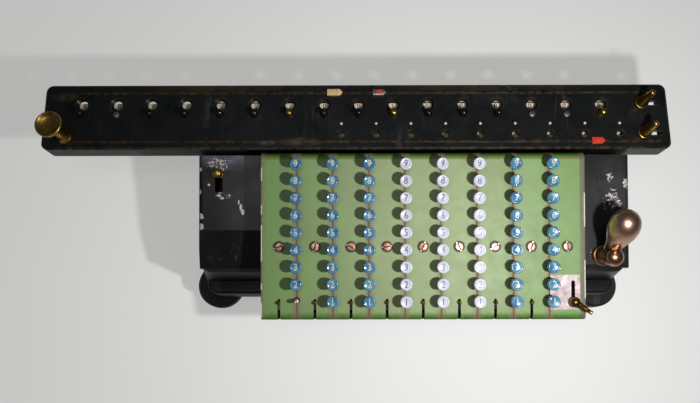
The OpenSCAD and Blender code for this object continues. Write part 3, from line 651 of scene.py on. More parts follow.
def keyboardFinish(look):
    # green enamel with rust along the seams under the keys and cream where the outer edges are chipped
    material, tree, shader, place = newMaterial("keyboardGreen")
    slope = keyboard["slope"]
    y = keyboard["frontY"]
    z = keyboard["frontZ"]
    moveY = -(y * math.cos(slope) + z * math.sin(slope))
    moveZ = y * math.sin(slope) - z * math.cos(slope)
    # millimetres across the keyboard, up its slope and over it
    local = stretched(
        tree, place, (1000.0, 1000.0, 1000.0), turn=(-slope, 0.0, 0.0), move=(0.0, moveY, moveZ))
    x, v = apart(tree, local)[:2]
    across = absolute(tree, x)
    patchy = cloud(tree, local, scale=0.03, detail=4.0, roughness=0.55)
    tone = blended(tree, spread(tree, across, 30.0, 110.0), look["middle"], look["sides"])
    tone = blended(tree, spread(tree, patchy, 0.35, 0.7, 0.0, 0.35), tone, look["stain"])
    blots = cloud(tree, local, scale=0.30, detail=6.0, roughness=0.7)
    rollWidth = look["rollWidth"]
    rollStart = keyboard["length"] - rollWidth
    front = spread(tree, plus(tree, v, times(tree, blots, 5.0)), rollWidth + 4.5, rollWidth + 1.0)
    rear = spread(tree, v, rollStart - 0.4, rollStart + 0.6)
    tone = blended(tree, times(tree, larger(tree, front, rear), 0.85), tone, look["rolls"])
    rearEnd = spread(tree, v, keyboard["length"] - 3.4, keyboard["length"] - 1.0, 0.0, 0.8)
    frontEnd = spread(tree, plus(tree, v, times(tree, blots, 6.0)), 5.6, 2.6)
    tone = blended(tree, larger(tree, rearEnd, frontEnd), tone, look["rollEdge"])
    lineGap = absolute(tree, minus(tree, v, rollStart))
    rollLine = times(tree, spread(tree, lineGap, 0.75, 0.25), spread(tree, blots, 0.40, 0.52))
    tone = blended(tree, times(tree, rollLine, 0.7), tone, look["rust"])
    seam = mathNode(tree, "PINGPONG", plus(tree, x, look["seamShift"]), look["seamPitch"])
    blotch = cloud(tree, local, scale=0.45, detail=5.0, roughness=0.65)
    stain = spread(tree, plus(tree, seam, times(tree, blotch, -7.0)), 0.6, -2.4, 0.0, 0.75)
    tone = blended(tree, stain, tone, look["stain"])
    rust = spread(tree, plus(tree, seam, times(tree, blotch, -3.6)), -0.45, -1.6)
    tone = blended(tree, times(tree, rust, 0.85), tone, look["rust"])
    # a dark ring round each strip screw: dirt, and painted shade round the raised head
    fromScrew = mathNode(tree, "PINGPONG", plus(tree, x, look["screwShift"]), look["seamPitch"])
    upScrew = minus(tree, v, keyboard["screwRow"])
    squares = plus(tree, times(tree, fromScrew, fromScrew), times(tree, upScrew, upScrew))
    fromMiddle = plus(tree, mathNode(tree, "SQRT", squares), times(tree, blotch, -1.4))
    screwDirtAndShadeRing = spread(tree, fromMiddle, *look["screwDirtAndShadeRing"], 0.0, 0.8)
    tone = blended(tree, screwDirtAndShadeRing, tone, look["rollEdge"])
    specks = effect(tree, "chips", Place=place, Grain=look["speckGrain"], Cover=look["specks"])
    tone = blended(tree, times(tree, specks, 0.6), tone, look["rust"])
    ragged = cloud(tree, local, scale=0.55, detail=6.0, roughness=0.7)
    bandEdge = plus(tree, x, times(tree, ragged, 2.4))
    band = spread(tree, bandEdge, look["bandStart"] + 1.0, look["bandStart"] + 1.7)
    tone = blended(tree, times(tree, band, 0.75), tone, look["band"])
    halfWidth = keyboard["halfWidth"]
    border = spread(tree, plus(tree, across, ragged), halfWidth - 0.5, halfWidth - 0.1)
    runs = []
    for side, stretches in ((-1.0, look["creamLeft"]), (1.0, look["creamRight"])):
        onSide = spread(tree, times(tree, x, side), 0.0, 1.0)
        for high, low in stretches:
            middle = (high + low) / 2
            half = (high - low) / 2
            gap = absolute(tree, minus(tree, v, middle))
            run = spread(tree, plus(tree, gap, times(tree, blots, 3.0)), half + 1.8, half + 1.0)
            runs.append(times(tree, run, onSide))
    along = runs[0]
    for run in runs[1:]:
        along = larger(tree, along, run)
    chipped = times(tree, border, along)
    tone = blended(tree, chipped, tone, look["cream"])
    feed(tree, shader["Base Color"], tone)
    gloss = spread(tree, cloud(tree, local, scale=0.12, detail=4.0), 0.3, 0.7, *look["gloss"])
    gloss = plus(tree, gloss, times(tree, rust, 0.3), clamp=True)
    feed(tree, shader["Roughness"], gloss)
    height = effect(tree, "grain", Place=place, Coarse=look["grain"][0], Fine=look["grain"][1])
    height = minus(tree, height, plus(tree, rust, times(tree, chipped, 1.5)))
    feed(tree, shader["Normal"], bumped(tree, height, look["bump"]))
    return material


keyboardGreen = keyboardFinish(greenLook)


def metalFinish(name, look):
    # turned or cast metal: tarnish in blotches, fine turning marks, brighter where it is handled
    material, tree, shader, place = newMaterial(name)
    blotch = cloud(tree, place, scale=look["blotch"], detail=6.0, roughness=0.65, distortion=0.3)
    tarnish = spread(tree, blotch, *look["tarnish"])
    tone = blended(tree, tarnish, look["bright"], look["dull"])
    pits = effect(tree, "chips", Place=place, Grain=look["pitGrain"], Cover=look["pits"])
    tone = blended(tree, pits, tone, look["pitColour"])
    edges = effect(tree, "wornEdges", Place=place, Reach=look["edgeReach"], Grain=look["edgeGrain"],
                   Amount=look["edgeShine"])
    tone = blended(tree, edges, tone, look["bright"])
    feed(tree, shader["Base Color"], tone)
    shader["Metallic"].default_value = look["metal"]
    rough = spread(tree, blotch, 0.3, 0.7, *look["rough"])
    feed(tree, shader["Roughness"], plus(tree, rough, times(tree, pits, 0.25), clamp=True))
    marks = cloud(tree, stretched(tree, place, (0.15, 0.15, 6.0)), scale=700.0, detail=3.0)
    fine = cloud(tree, place, scale=1400.0, detail=2.0)
    height = plus(tree, marks, times(tree, fine, 0.5))
    height = minus(tree, height, pits)
    feed(tree, shader["Normal"], bumped(tree, height, look["bump"], 0.0001))
    return material


brassLook = {
    "bright": paint(214, 176, 98),
    "dull": paint(128, 92, 40),
    "blotch": 160.0,
    "tarnish": (0.38, 0.66),
    "pitGrain": 600.0,
    "pits": 0.12,
    "pitColour": paint(70, 48, 24),
    "edgeReach": 0.0004,
    "edgeGrain": 500.0,
    "edgeShine": 0.6,
    "metal": 1.0,
    "rough": (0.22, 0.42),
    "bump": 0.12,
}
darkBrassLook = dict(brassLook, bright=paint(178, 136, 66), dull=paint(92, 64, 28), tarnish=(0.32, 0.6))
bronzeLook = dict(
    brassLook,
    bright=paint(206, 158, 120),
    dull=paint(140, 96, 62),
    tarnish=(0.4, 0.75),
    rough=(0.2, 0.36),
)
gripLook = dict(
    brassLook,
    bright=paint(236, 196, 172),
    dull=paint(196, 146, 108),
    tarnish=(0.36, 0.72),
    blotch=110.0,
    rough=(0.26, 0.38),
    bump=0.05,
)
nickelLook = dict(
    brassLook,
    bright=paint(226, 214, 212),
    dull=paint(186, 160, 150),
    pitColour=paint(120, 84, 66),
    pits=0.2,
    rough=(0.3, 0.5),
)
plateLook = dict(
    nickelLook,
    bright=paint(214, 198, 200),
    dull=paint(168, 150, 148),
    pits=0.3,
    metal=0.35,
    rough=(0.5, 0.66),
)
copperScrewLook = dict(nickelLook, bright=paint(214, 172, 158), dull=paint(150, 104, 84), pits=0.35)
steelLook = dict(
    brassLook,
    bright=paint(168, 166, 160),
    dull=paint(112, 106, 98),
    pitColour=paint(88, 58, 38),
    pits=0.25,
    rough=(0.34, 0.55),
    bump=0.2,
)

brass = metalFinish("brass", brassLook)
darkBrass = metalFinish("darkBrass", darkBrassLook)
bronze = metalFinish("crankBronze", bronzeLook)
gripCopper = metalFinish("gripCopper", gripLook)
nickel = metalFinish("nickel", nickelLook)
plateNickel = metalFinish("plateNickel", plateLook)
screwMetal = metalFinish("screwMetal", copperScrewLook)
steel = metalFinish("steel", steelLook)


def enamelFinish(name, look):
    # moulded or painted small parts: mottled colour, grime in blotches, fine scratches
    material, tree, shader, place = newMaterial(name)
    mottle = cloud(tree, place, scale=look["mottle"], detail=5.0, roughness=0.6)
    tone = blended(tree, spread(tree, mottle, 0.35, 0.68), look["colour"], look["other"])
    lines = effect(tree, "hairlines", Place=place, Grain=look["scratchGrain"], Cover=look["scratches"])
    tone = blended(tree, lines, tone, look["scratchColour"])
    grime = effect(tree, "chips", Place=place, Grain=look["grimeGrain"], Cover=look["grime"])
    tone = blended(tree, times(tree, grime, 0.7), tone, look["grimeColour"])
    feed(tree, shader["Base Color"], tone)
    feed(tree, shader["Roughness"], spread(tree, mottle, 0.3, 0.7, *look["gloss"]))
    shader["Coat Weight"].default_value = look["coat"]
    shader["Coat Roughness"].default_value = 0.08
    height = effect(tree, "grain", Place=place, Coarse=260.0, Fine=1500.0)
    feed(tree, shader["Normal"], bumped(tree, height, 0.08, 0.0001))
    return material


blueCapLook = {
    "colour": paint(44, 106, 150),
    "other": paint(96, 154, 178),
    "mottle": 130.0,
    "scratchGrain": 220.0,
    "scratches": 0.4,
    "scratchColour": paint(150, 186, 214),
    "grimeGrain": 700.0,
    "grime": 0.08,
    "grimeColour": paint(20, 44, 66),
    "gloss": (0.12, 0.26),
    "coat": 0.5,
}
whiteCapLook = dict(
    blueCapLook,
    colour=paint(222, 224, 234),
    other=paint(204, 208, 224),
    scratchColour=paint(170, 172, 184),
    grimeColour=paint(140, 132, 128),
    gloss=(0.2, 0.34),
    coat=0.2,
)
dialLook = dict(
    blueCapLook,
    colour=paint(238, 222, 198),
    other=paint(216, 192, 152),
    mottle=260.0,
    grime=0.22,
    grimeColour=paint(120, 92, 60),
    scratchColour=paint(160, 140, 110),
    gloss=(0.3, 0.5),
    coat=0.0,
)
palePaintLook = dict(
    dialLook,
    colour=paint(232, 222, 206),
    other=paint(206, 186, 150),
    grime=0.1,
    gloss=(0.3, 0.45),
)
violetPaintLook = dict(
    dialLook,
    colour=paint(78, 80, 132),
    other=paint(106, 104, 150),
    grime=0.0,
    gloss=(0.3, 0.45),
)
inkLook = dict(
    dialLook,
    colour=paint(34, 26, 22),
    other=paint(62, 50, 40),
    grime=0.0,
    gloss=(0.4, 0.55),
)
creamLook = dict(
    dialLook,
    colour=paint(238, 190, 128),
    other=paint(248, 222, 180),
    grime=0.5,
    grimeColour=paint(112, 58, 24),
    grimeGrain=260.0,
)
redLook = dict(
    dialLook,
    colour=paint(214, 48, 34),
    other=paint(232, 84, 58),
    grime=0.3,
    grimeColour=paint(240, 190, 170),
    grimeGrain=500.0,
    gloss=(0.25, 0.4),
    coat=0.3,
)

blueCap = enamelFinish("blueCap", blueCapLook)
whiteCap = enamelFinish("whiteCap", whiteCapLook)
dialIvory = enamelFinish("dialIvory", dialLook)
palePaint = enamelFinish("palePaint", palePaintLook)
violetPaint = enamelFinish("violetPaint", violetPaintLook)
dialInk = enamelFinish("dialInk", inkLook)
creamEnamel = enamelFinish("creamEnamel", creamLook)
redEnamel = enamelFinish("redEnamel", redLook)
print("finishes built:", len(bpy.data.materials))


# CAD nodes that keep their own shape

for name, material in {
    "base_frame": baseJapan,
    "case_shell": caseJapan,
    "left_cover": leftJapan,
    "right_cover": rightJapan,
    "keyboard_frame": frameJapan,
    "keyboard_strips": keyboardGreen,
    "lever_plate": plateNickel,
    "bearing_plates": steel,
    "carriage_rails": steel,
    "cross_shaft": steel,
    "slide_sleeve": steel,
    "carriage_cover": carriageJapan,
    "carriage_bridge": steel,
    "stepped_drum_1": steel,
    "stepped_drum_2": steel,
    "stepped_drum_3": steel,
    "stepped_drum_4": steel,
}.items():
    for slot in cadNodes[name].material_slots:
        slot.material = material
print("CAD nodes painted")


# Keys

keyParts = {
    "cap": [
        (3.1, 8.0), (3.75, 8.12), (4.12, 8.5), (4.25, 9.1), (4.25, 10.8), (4.16, 11.4),
        (3.9, 11.8), (3.55, 11.97), (3.3, 11.98), (3.0, 11.86), (2.5, 11.72), (1.8, 11.61),
        (0.9, 11.555), (0.2, 11.55),
    ],
    "stem": [(1.3, -13.0), (1.6, -12.7), (1.6, 7.2), (1.9, 7.5), (1.9, 8.1)],
    "bareStem": [(1.3, -13.0), (1.6, -12.7), (1.6, 7.0), (1.15, 7.2), (1.15, 8.8), (0.9, 9.0)],
    "numeral": (6.7, 0.88, 0.15, 0.0),  # size, width, depth, weight
    "numeralHeight": 11.76,
    "blueColumns": [1, 2, 3, 7, 8],
    "missing": (1, 1),  # column, row
}

capShape = turnedShape("capShape", keyParts["cap"], sides=36)
stemShape = turnedShape("stemShape", keyParts["stem"], sides=20)
bareStemShape = turnedShape("bareStemShape", keyParts["bareStem"], sides=20)
keyNumerals = numeralShapes(*keyParts["numeral"])

for column in range(1, 9):
    node = "keys_column_" + str(column)
    body = "keys_" + str(column)
    x = nodeMiddle(node).x
    caps = []
    stems = []
    numerals = []
    for row in range(1, 10):
        v = keyboard["firstRow"] + (row - 1) * keyboard["rowPitch"]
        place = keyboardPlace(x, v, 0.0)
        if (column, row) == keyParts["missing"]:
            stems.append(placedCopy(bareStemShape, place))
            continue
        caps.append(placedCopy(capShape, place))
        stems.append(placedCopy(stemShape, place))
        numerals.append(placedCopy(keyNumerals[row], keyboardPlace(x, v, keyParts["numeralHeight"])))
    blue = column in keyParts["blueColumns"]
    slotName = "key_blue" if blue else "key_white"
    fitPiece("keyCaps_" + str(column), caps, body, slotName, blueCap if blue else whiteCap, node)
    fitPiece("keyStems_" + str(column), stems, body, "screw_nickel", nickel, node)
    numeralPaint = palePaint if blue else violetPaint
    fitPiece("keyNumerals_" + str(column), numerals, body, slotName, numeralPaint, node)
putAway([capShape, stemShape, bareStemShape] + keyNumerals)
print("keys made")


# Screws that hold the keyboard strips, and the dark fill in their slots: dirt and painted shade

stripScrews = {
    "head": [
        (1.7, -4.3), (1.7, -0.02), (3.45, 0.0), (3.5, 0.1), (3.5, 0.55), (3.38, 0.9), (2.95, 1.2),
        (2.2, 1.36), (0.4, 1.4),
    ],
    "slotWidth": 1.1,
    "slotFloor": 0.25,
    "slotDirtAndShade": {"half": 2.6, "low": 0.2, "high": 0.62},
    "pitch": 25.0,
    "first": -100.0,
    "turns": [20, 78, 152, 8, 64, 118, 35, 72, 96],  # how far each slot is turned
}

screwShape = turnedShape("screwShape", stripScrews["head"], sides=36)
half = stripScrews["slotWidth"] / 2
slotCutter = blockShape("slotCutter", (-5.0, -half, stripScrews["slotFloor"]), (5.0, half, 3.0), 0.0)
smoothed(cutAway(screwShape, slotCutter))
screwPlaces = []
for index, turn in enumerate(stripScrews["turns"]):
    x = stripScrews["first"] + index * stripScrews["pitch"]
    screwPlaces.append(keyboardPlace(x, keyboard["screwRow"], 0.0, math.radians(turn)))
screws = [placedCopy(screwShape, spot) for spot in screwPlaces]
fitPiece("stripScrews", screws, "base", "screw_nickel", screwMetal, "strip_screws")
# dark blocks in the screw slots: dirt, and painted shade in the slot's recess
slotDirtAndShade = stripScrews["slotDirtAndShade"]
slotDirtAndShadeLow = (-slotDirtAndShade["half"], -half, slotDirtAndShade["low"])
slotDirtAndShadeHigh = (slotDirtAndShade["half"], half, slotDirtAndShade["high"])
slotDirtAndShadeShape = blockShape("slotDirtAndShadeShape", slotDirtAndShadeLow, slotDirtAndShadeHigh, 0.05)
grime = [placedCopy(slotDirtAndShadeShape, spot) for spot in screwPlaces]
fitPiece("screwSlotDirtAndShade", grime, "base", "screw_nickel", dialInk, "strip_screws")
putAway([screwShape, slotDirtAndShadeShape])


# Low front step of the case, under the keyboard's overhang

frontSill = {
    "low": (-160.5, -73.0, 13.6),
    "high": (151.5, -57.0, 40.0),
    "corner": 9.0,
    "edge": 2.4,
}

sill = blockShape("sill", frontSill["low"], frontSill["high"], 0.0)
clearSelection(sill)
corners = sill.data.vertices
for edge in sill.data.edges:
    first = corners[edge.vertices[0]].co
    second = corners[edge.vertices[1]].co
    upright = abs(first.z - second.z) > 1.0
    edge.select = upright and first.y < frontSill["low"][1] + 1.0
bpy.context.tool_settings.mesh_select_mode = (False, True, False)
bpy.ops.object.mode_set(mode="EDIT")
bpy.ops.mesh.bevel(offset=frontSill["corner"], segments=10, affect="EDGES")
bpy.ops.object.mode_set(mode="OBJECT")
softenEdges(sill, frontSill["edge"], 4)
fitPiece("frontSill", [placedCopy(sill, toMetres)], "base", "japanned_case", caseJapan)
putAway([sill])


# Levers on the keyboard and the left cover

functionLever = {
    "x": 103.5,
    "v": 13.0,
    "shank": [(2.3, -6.5), (2.6, -6.2), (2.6, -4.9), (2.3, -4.7), (1.2, -4.6), (1.2, 2.0)],
    "ballRadius": 3.7,
    "ballHeight": 4.8,
    "armTilt": math.radians(82),
    "armTurn": math.radians(-34),
    "arm": [
        (2.3, 0.0), (2.25, 4.2), (1.9, 5.0), (1.7, 8.0), (1.5, 11.2), (1.25, 11.6), (1.3, 12.0),
        (1.5, 12.7), (1.35, 13.3), (0.8, 13.5),
    ],
}

spot = keyboardPlace(functionLever["x"], functionLever["v"], 0.0)
ballPlace = keyboardPlace(functionLever["x"], functionLever["v"], functionLever["ballHeight"])
armPlace = ballPlace @ Matrix.Rotation(functionLever["armTurn"], 4, "Z")
armPlace = armPlace @ Matrix.Rotation(functionLever["armTilt"], 4, "Y")
shank = turnedShape("shank", functionLever["shank"], sides=24)
rings = ballRings(functionLever["ballRadius"], 0.0, start=8, end=172, steps=14)
ball = turnedShape("ball", rings, sides=32)
arm = turnedShape("arm", functionLever["arm"], sides=24)
parts = [placedCopy(shank, spot), placedCopy(ball, ballPlace), placedCopy(arm, armPlace)]
fitPiece("functionLever", parts, "function_lever", "lever_brass", darkBrass, "function_lever")
putAway([shank, ball, arm])

columnLevers = {
    "first": -100.0,
    "pitch": 25.0,
    "count": 8,
    "pin": [
        (1.3, -5.7), (1.6, -5.5), (1.6, -4.8), (0.9, -4.6), (0.9, 0.9),
    ] + ballRings(1.3, 2.0, start=44, end=172, steps=8),
}

pinShape = turnedShape("pinShape", columnLevers["pin"], sides=20)
pins = []
for index in range(columnLevers["count"]):
    x = columnLevers["first"] + index * columnLevers["pitch"]
    pins.append(placedCopy(pinShape, keyboardPlace(x, keyboard["leverRow"], 0.0)))
fitPiece("columnLevers", pins, "column_levers", "lever_brass", darkBrass, "column_levers")
putAway([pinShape])

coverLever = {
    "x": -145.7,
    "v": 103.2,
    "deck": -20.0,
    "blade": ((-2.2, -1.6, -7.2), (2.2, 1.6, 3.0)),
    "slider": ((-5.0, -3.0, -4.4), (5.0, 3.0, -2.4)),
    "head": [
        (2.2, 1.9), (2.4, 2.2), (2.7, 3.2), (3.4, 5.2), (3.5, 6.0), (3.3, 7.0), (2.7, 8.0),
        (2.0, 8.4), (0.5, 8.5),
    ],
}

spot = keyboardPlace(coverLever["x"], coverLever["v"], coverLever["deck"])
blade = blockShape("blade", *coverLever["blade"])
slider = blockShape("slider", *coverLever["slider"])
head = turnedShape("head", coverLever["head"], sides=28)
parts = [placedCopy(blade, spot), placedCopy(slider, spot), placedCopy(head, spot)]
fitPiece("coverLever", parts, "cover_lever", "lever_brass", brass, "cover_lever")
putAway([blade, slider, head])
print("levers and screws made")


# Crank and its grip

crank = {
    "x": 131.0,
    "v": 43.8,
    "shaft": [(3.6, -55.0), (4.0, -54.6), (4.0, -19.0)],
    "gear": (8.6, 4.0, 16),  # radius, depth, teeth
    "gearHeight": -55.0,
    "collar": [
        (7.1, -19.8), (7.4, -19.5), (7.4, -17.6), (7.25, -17.1), (6.8, -16.7), (6.0, -16.6),
        (5.6, -16.3), (5.4, -15.2), (5.35, -9.0), (5.4, -5.0), (5.8, -3.4), (6.25, -2.6),
        (6.4, -1.8), (6.3, -1.0), (5.9, -0.6),
    ],
    "ballHeight": 2.7,
    "ballRadius": 6.7,
    "gripRoot": -8.5,
    "gripLean": math.radians(-39),
    "gripTurn": math.radians(-4),
    "arm": [(4.4, 4.6), (4.8, 5.0), (5.3, 9.0), (5.8, 13.0), (6.2, 15.0), (6.25, 15.5), (5.9, 15.75)],
    "spindle": [(2.4, 15.0), (2.4, 38.0), (2.1, 38.25)],
    "gripStart": 16.0,
    "gripLength": 31.0,
    "gripNeck": 6.3,
    "gripRadius": 10.2,
    "gripFull": 0.58,  # share of the length at which the grip is widest
}


def gripRings(grip):
    rings = [(2.45, 0.0), (grip["gripNeck"] - 0.4, 0.0), (grip["gripNeck"], 0.35)]
    steps = 28
    for step in range(1, steps + 1):
        share = step / steps * 0.992
        if share < grip["gripFull"]:
            swell = math.sin(math.pi / 2 * share / grip["gripFull"]) ** 1.2
            radius = grip["gripNeck"] + (grip["gripRadius"] - grip["gripNeck"]) * swell
        else:
            fall = (share - grip["gripFull"]) / (1 - grip["gripFull"])
            radius = grip["gripRadius"] * math.sqrt(max(0.0, 1 - fall ** 2.2))
        rings.append((radius, grip["gripLength"] * share))
    rings.append((0.3, grip["gripLength"] - 0.02))
    return rings


def bevelGearShape(name, big, depth, teeth):
    # every other side of the cone is sunk, which leaves the teeth
    deselectAll()
    bpy.ops.mesh.primitive_cone_add(
        vertices=2 * teeth, radius1=big - depth, radius2=big, depth=depth, location=(0, 0, depth / 2))
    gear = newShape(name)
    bpy.ops.object.transform_apply(location=True, rotation=False, scale=False)
    sideFaces = sorted(
        (face for face in gear.data.polygons if abs(face.normal.z) < 0.9),
        key=lambda side: math.atan2(side.center.y, side.center.x))
    clearSelection(gear)
    for index, side in enumerate(sideFaces):
        side.select = index % 2 == 0
    bpy.ops.object.mode_set(mode="EDIT")
    bpy.ops.mesh.select_mode(type="FACE")
    bpy.ops.mesh.inset(thickness=0.12, depth=-0.55, use_individual=True)
    turnOutwards()
    return gear


axis = keyboardPlace(crank["x"], crank["v"], 0.0)
ballPlace = keyboardPlace(crank["x"], crank["v"], crank["ballHeight"])
gearPlace = keyboardPlace(crank["x"], crank["v"], crank["gearHeight"])
gripLine = keyboardPlace(crank["x"], crank["v"], 0.0, crank["gripTurn"])
gripLine = gripLine @ Matrix.Translation((0.0, 0.0, crank["gripRoot"]))
gripLine = gripLine @ Matrix.Rotation(crank["gripLean"], 4, "X")
gripPlace = gripLine @ Matrix.Translation((0.0, 0.0, crank["gripStart"]))
shaft = turnedShape("shaft", crank["shaft"], sides=32)
collar = turnedShape("collar", crank["collar"], sides=56)
ball = turnedShape("ball", ballRings(crank["ballRadius"], 0.0, start=25, end=177, steps=22), sides=56)
arm = turnedShape("arm", crank["arm"], sides=48)
spindle = turnedShape("spindle", crank["spindle"], sides=28)
driveGear = bevelGearShape("driveGear", *crank["gear"])
parts = [placedCopy(shaft, axis), placedCopy(collar, axis), placedCopy(ball, ballPlace),
         placedCopy(arm, gripLine), placedCopy(spindle, gripLine), placedCopy(driveGear, gearPlace)]
fitPiece("crankArm", parts, "crank", "crank_bronze", bronze, "crank")
gripShape = turnedShape("gripShape", gripRings(crank), sides=56, angle=50.0)
parts = [placedCopy(gripShape, gripPlace)]
fitPiece("crankGrip", parts, "grip", "crank_bronze", gripCopper, "crank_grip")
putAway([shaft, collar, ball, arm, spindle, driveGear, gripShape])
print("crank made")


# Number dials, setting knobs and counter pins

dialParts = {
    "resultAxisY": 49.954,
    "counterAxisY": 42.954,
    "reach": 8.0,
    "resultGear": (5.0, 1.3, 10),  # radius, depth of tooth, teeth
    "counterGear": (4.0, 1.3, 10),
    "resultNumeral": (5.6, 0.8, 0.03, 0.06),  # size, width, depth, weight
    "counterNumeral": (4.4, 0.8, 0.03, 0.04),
    "resultTop": 95.45,
    "counterTop": 90.95,
    "resultSpindle": [
        (1.3, 78.0), (1.5, 78.3), (1.5, 87.0), (1.7, 87.0), (1.7, 93.5), (10.3, 93.5),
        (10.5, 93.7), (10.5, 95.3), (10.35, 95.5), (9.9, 95.5), (9.75, 95.42), (2.6, 95.42),
        (2.5, 95.5), (2.0, 95.5), (2.0, 101.3),
    ],
    "counterSpindle": [
        (1.3, 78.0), (1.5, 78.3), (1.5, 89.0), (10.3, 89.0), (10.5, 89.2), (10.5, 90.8),
        (10.35, 91.0), (9.9, 91.0), (9.75, 90.92), (1.6, 90.92), (1.5, 91.0), (1.0, 91.0),
        (1.0, 100.1), (0.85, 100.4), (0.4, 100.5),
    ],
    "gearBottom": 84.0,
    "gearHeight": 4.0,
    "knob": [
        (2.5, 100.3), (2.9, 100.5), (2.9, 101.2), (2.6, 101.6), (2.0, 102.3), (1.8, 103.2),
        (2.0, 104.0), (2.45, 104.6), (2.6, 105.2), (2.45, 105.9), (2.0, 106.5), (1.3, 106.9),
        (0.3, 107.0),
    ],
    "stub": [(2.05, 100.2), (2.15, 100.4), (2.15, 101.3), (1.7, 101.5), (0.8, 101.55), (0.2, 101.56)],
    "missingKnobs": [2, 14, 15],
    "brassKnobs": [7, 10, 16],
    "shown": [  # the digit in each window
        0, 0, 0, 0, 0, 0, 1, 0, 0, 1, 0, 0, 0, 0, 0, 0,
    ],
    "counterShown": [0, 0, 0, 0, 0, 0, 0, 0, 0],
}

resultShape = turnedShape("resultShape", dialParts["resultSpindle"], sides=48)
counterShape = turnedShape("counterShape", dialParts["counterSpindle"], sides=48)
resultGear = gearShape("resultGear", *dialParts["resultGear"], dialParts["gearHeight"])
counterGear = gearShape("counterGear", *dialParts["counterGear"], dialParts["gearHeight"])
knobShape = turnedShape("knobShape", dialParts["knob"], sides=28)
stubShape = turnedShape("stubShape", dialParts["stub"], sides=24)
resultNumerals = numeralShapes(*dialParts["resultNumeral"])
counterNumerals = numeralShapes(*dialParts["counterNumeral"])


def numeralRing(shapes, x, y, top, side, shown):
    # ten numerals round a dial; side is 1 where the window is behind the axis, or else -1
    ring = []
    for digit in range(10):
        turn = math.radians(36.0 * (shown - digit))
        spot = uprightPlace(x, y, top, turn) @ Matrix.Translation((0.0, side * dialParts["reach"], 0.0))
        ring.append(placedCopy(shapes[digit], spot))
    return ring


def makeDial(kind, number, shape, gear, numerals, side, digit):
    name = kind + "_dial_" + str(number)
    x = nodeMiddle(name).x
    y = dialParts[kind + "AxisY"]
    spot = uprightPlace(x, y, 0.0)
    gearSpot = uprightPlace(x, y, dialParts["gearBottom"])
    parts = [placedCopy(shape, spot), placedCopy(gear, gearSpot)]
    fitPiece(kind + "Dial_" + str(number), parts, name, "dial_ivory", dialIvory, name)
    ring = numeralRing(numerals, x, y, dialParts[kind + "Top"], side, digit)
    fitPiece(kind + "Numerals_" + str(number), ring, name, "dial_ivory", dialInk, name)
    return name, spot


for number, digit in enumerate(dialParts["shown"], 1):
    name, spot = makeDial("result", number, resultShape, resultGear, resultNumerals, 1, digit)
    shape = knobShape
    knobMetal = knobBlack
    if number in dialParts["brassKnobs"]:
        knobMetal = brass
    if number in dialParts["missingKnobs"]:
        shape = stubShape
        knobMetal = steel
    knob = [placedCopy(shape, spot)]
    fitPiece("settingKnob_" + str(number), knob, name, "lever_brass", knobMetal, name)

for number, digit in enumerate(dialParts["counterShown"], 1):
    makeDial("counter", number, counterShape, counterGear, counterNumerals, -1, digit)
putAway([resultShape, counterShape, resultGear, counterGear, knobShape, stubShape])
putAway(resultNumerals + counterNumerals)
print("dials made")


# Lift knob, clearing handles and markers on the carriage

liftKnob = {
    "x": -255.2,
    "y": 33.454,
    "rings": [
        (5.2, 100.0), (5.5, 100.3), (5.5, 101.2), (5.1, 101.7), (4.5, 102.4), (4.1, 104.0),
        (3.8, 106.5), (3.7, 112.0), (3.75, 117.5), (4.2, 120.4), (5.2, 122.3), (6.9, 123.7),
        (8.4, 124.6), (9.1, 125.6), (9.25, 126.6), (9.1, 127.4), (8.7, 127.9), (8.2, 128.0),
        (7.7, 127.7), (7.0, 126.9), (5.6, 126.2), (3.0, 125.8), (0.4, 125.6),
    ],
}
knob = turnedShape("knob", liftKnob["rings"], sides=56, angle=50.0)
spot = uprightPlace(liftKnob["x"], liftKnob["y"], 0.0)
fitPiece("liftKnob", [placedCopy(knob, spot)], "carriage", "lever_brass", brass, "lift_knob")
putAway([knob])

clearingHandle = {
    "x": 160.2,
    "resultY": 58.254,
    "counterY": 35.554,
    "rings": [
        (3.1, 94.8), (3.4, 95.0), (3.4, 96.6), (3.1, 96.8), (1.5, 96.8), (1.5, 100.2),
        (4.8, 100.2), (5.0, 100.5), (4.9, 101.2), (4.55, 101.65), (4.2, 101.75), (4.15, 102.6),
        (3.7, 106.0), (3.2, 110.0), (2.75, 114.0), (2.3, 117.2), (2.05, 118.0),
    ] + ballRings(2.1, 119.2, start=80, end=176, steps=9),
}
handle = turnedShape("handle", clearingHandle["rings"], sides=40)
for kind in ("result", "counter"):
    spot = uprightPlace(clearingHandle["x"], clearingHandle[kind + "Y"], 0.0)
    parts = [placedCopy(handle, spot)]
    node = kind + "_clearing_handle"
    fitPiece(kind + "ClearingHandle", parts, kind + "_handle", "lever_brass", brass, node)
putAway([handle])

markers = {
    "half": 2.3,
    "low": 100.05,
    "high": 102.45,
    "grooveHalf": 0.55,
    "grooveTop": 101.45,
    "point": 2.0,
    "pointShare": 0.12,  # width of the tip over that of the body
    "edge": 0.25,
    "inlay": {"start": -31.4, "end": -27.6, "half": 1.5, "low": 102.0, "high": 102.7, "edge": 0.1},
    "rearRail": 66.354,
    "frontRail": 29.354,
    "places": [  # name, start, rail, length
        ("creamMarker", -67.0, "rearRail", 11.0),
        ("framedMarker", -34.0, "rearRail", 9.5),
        ("redMarker", 121.8, "frontRail", 9.3),
    ],
}


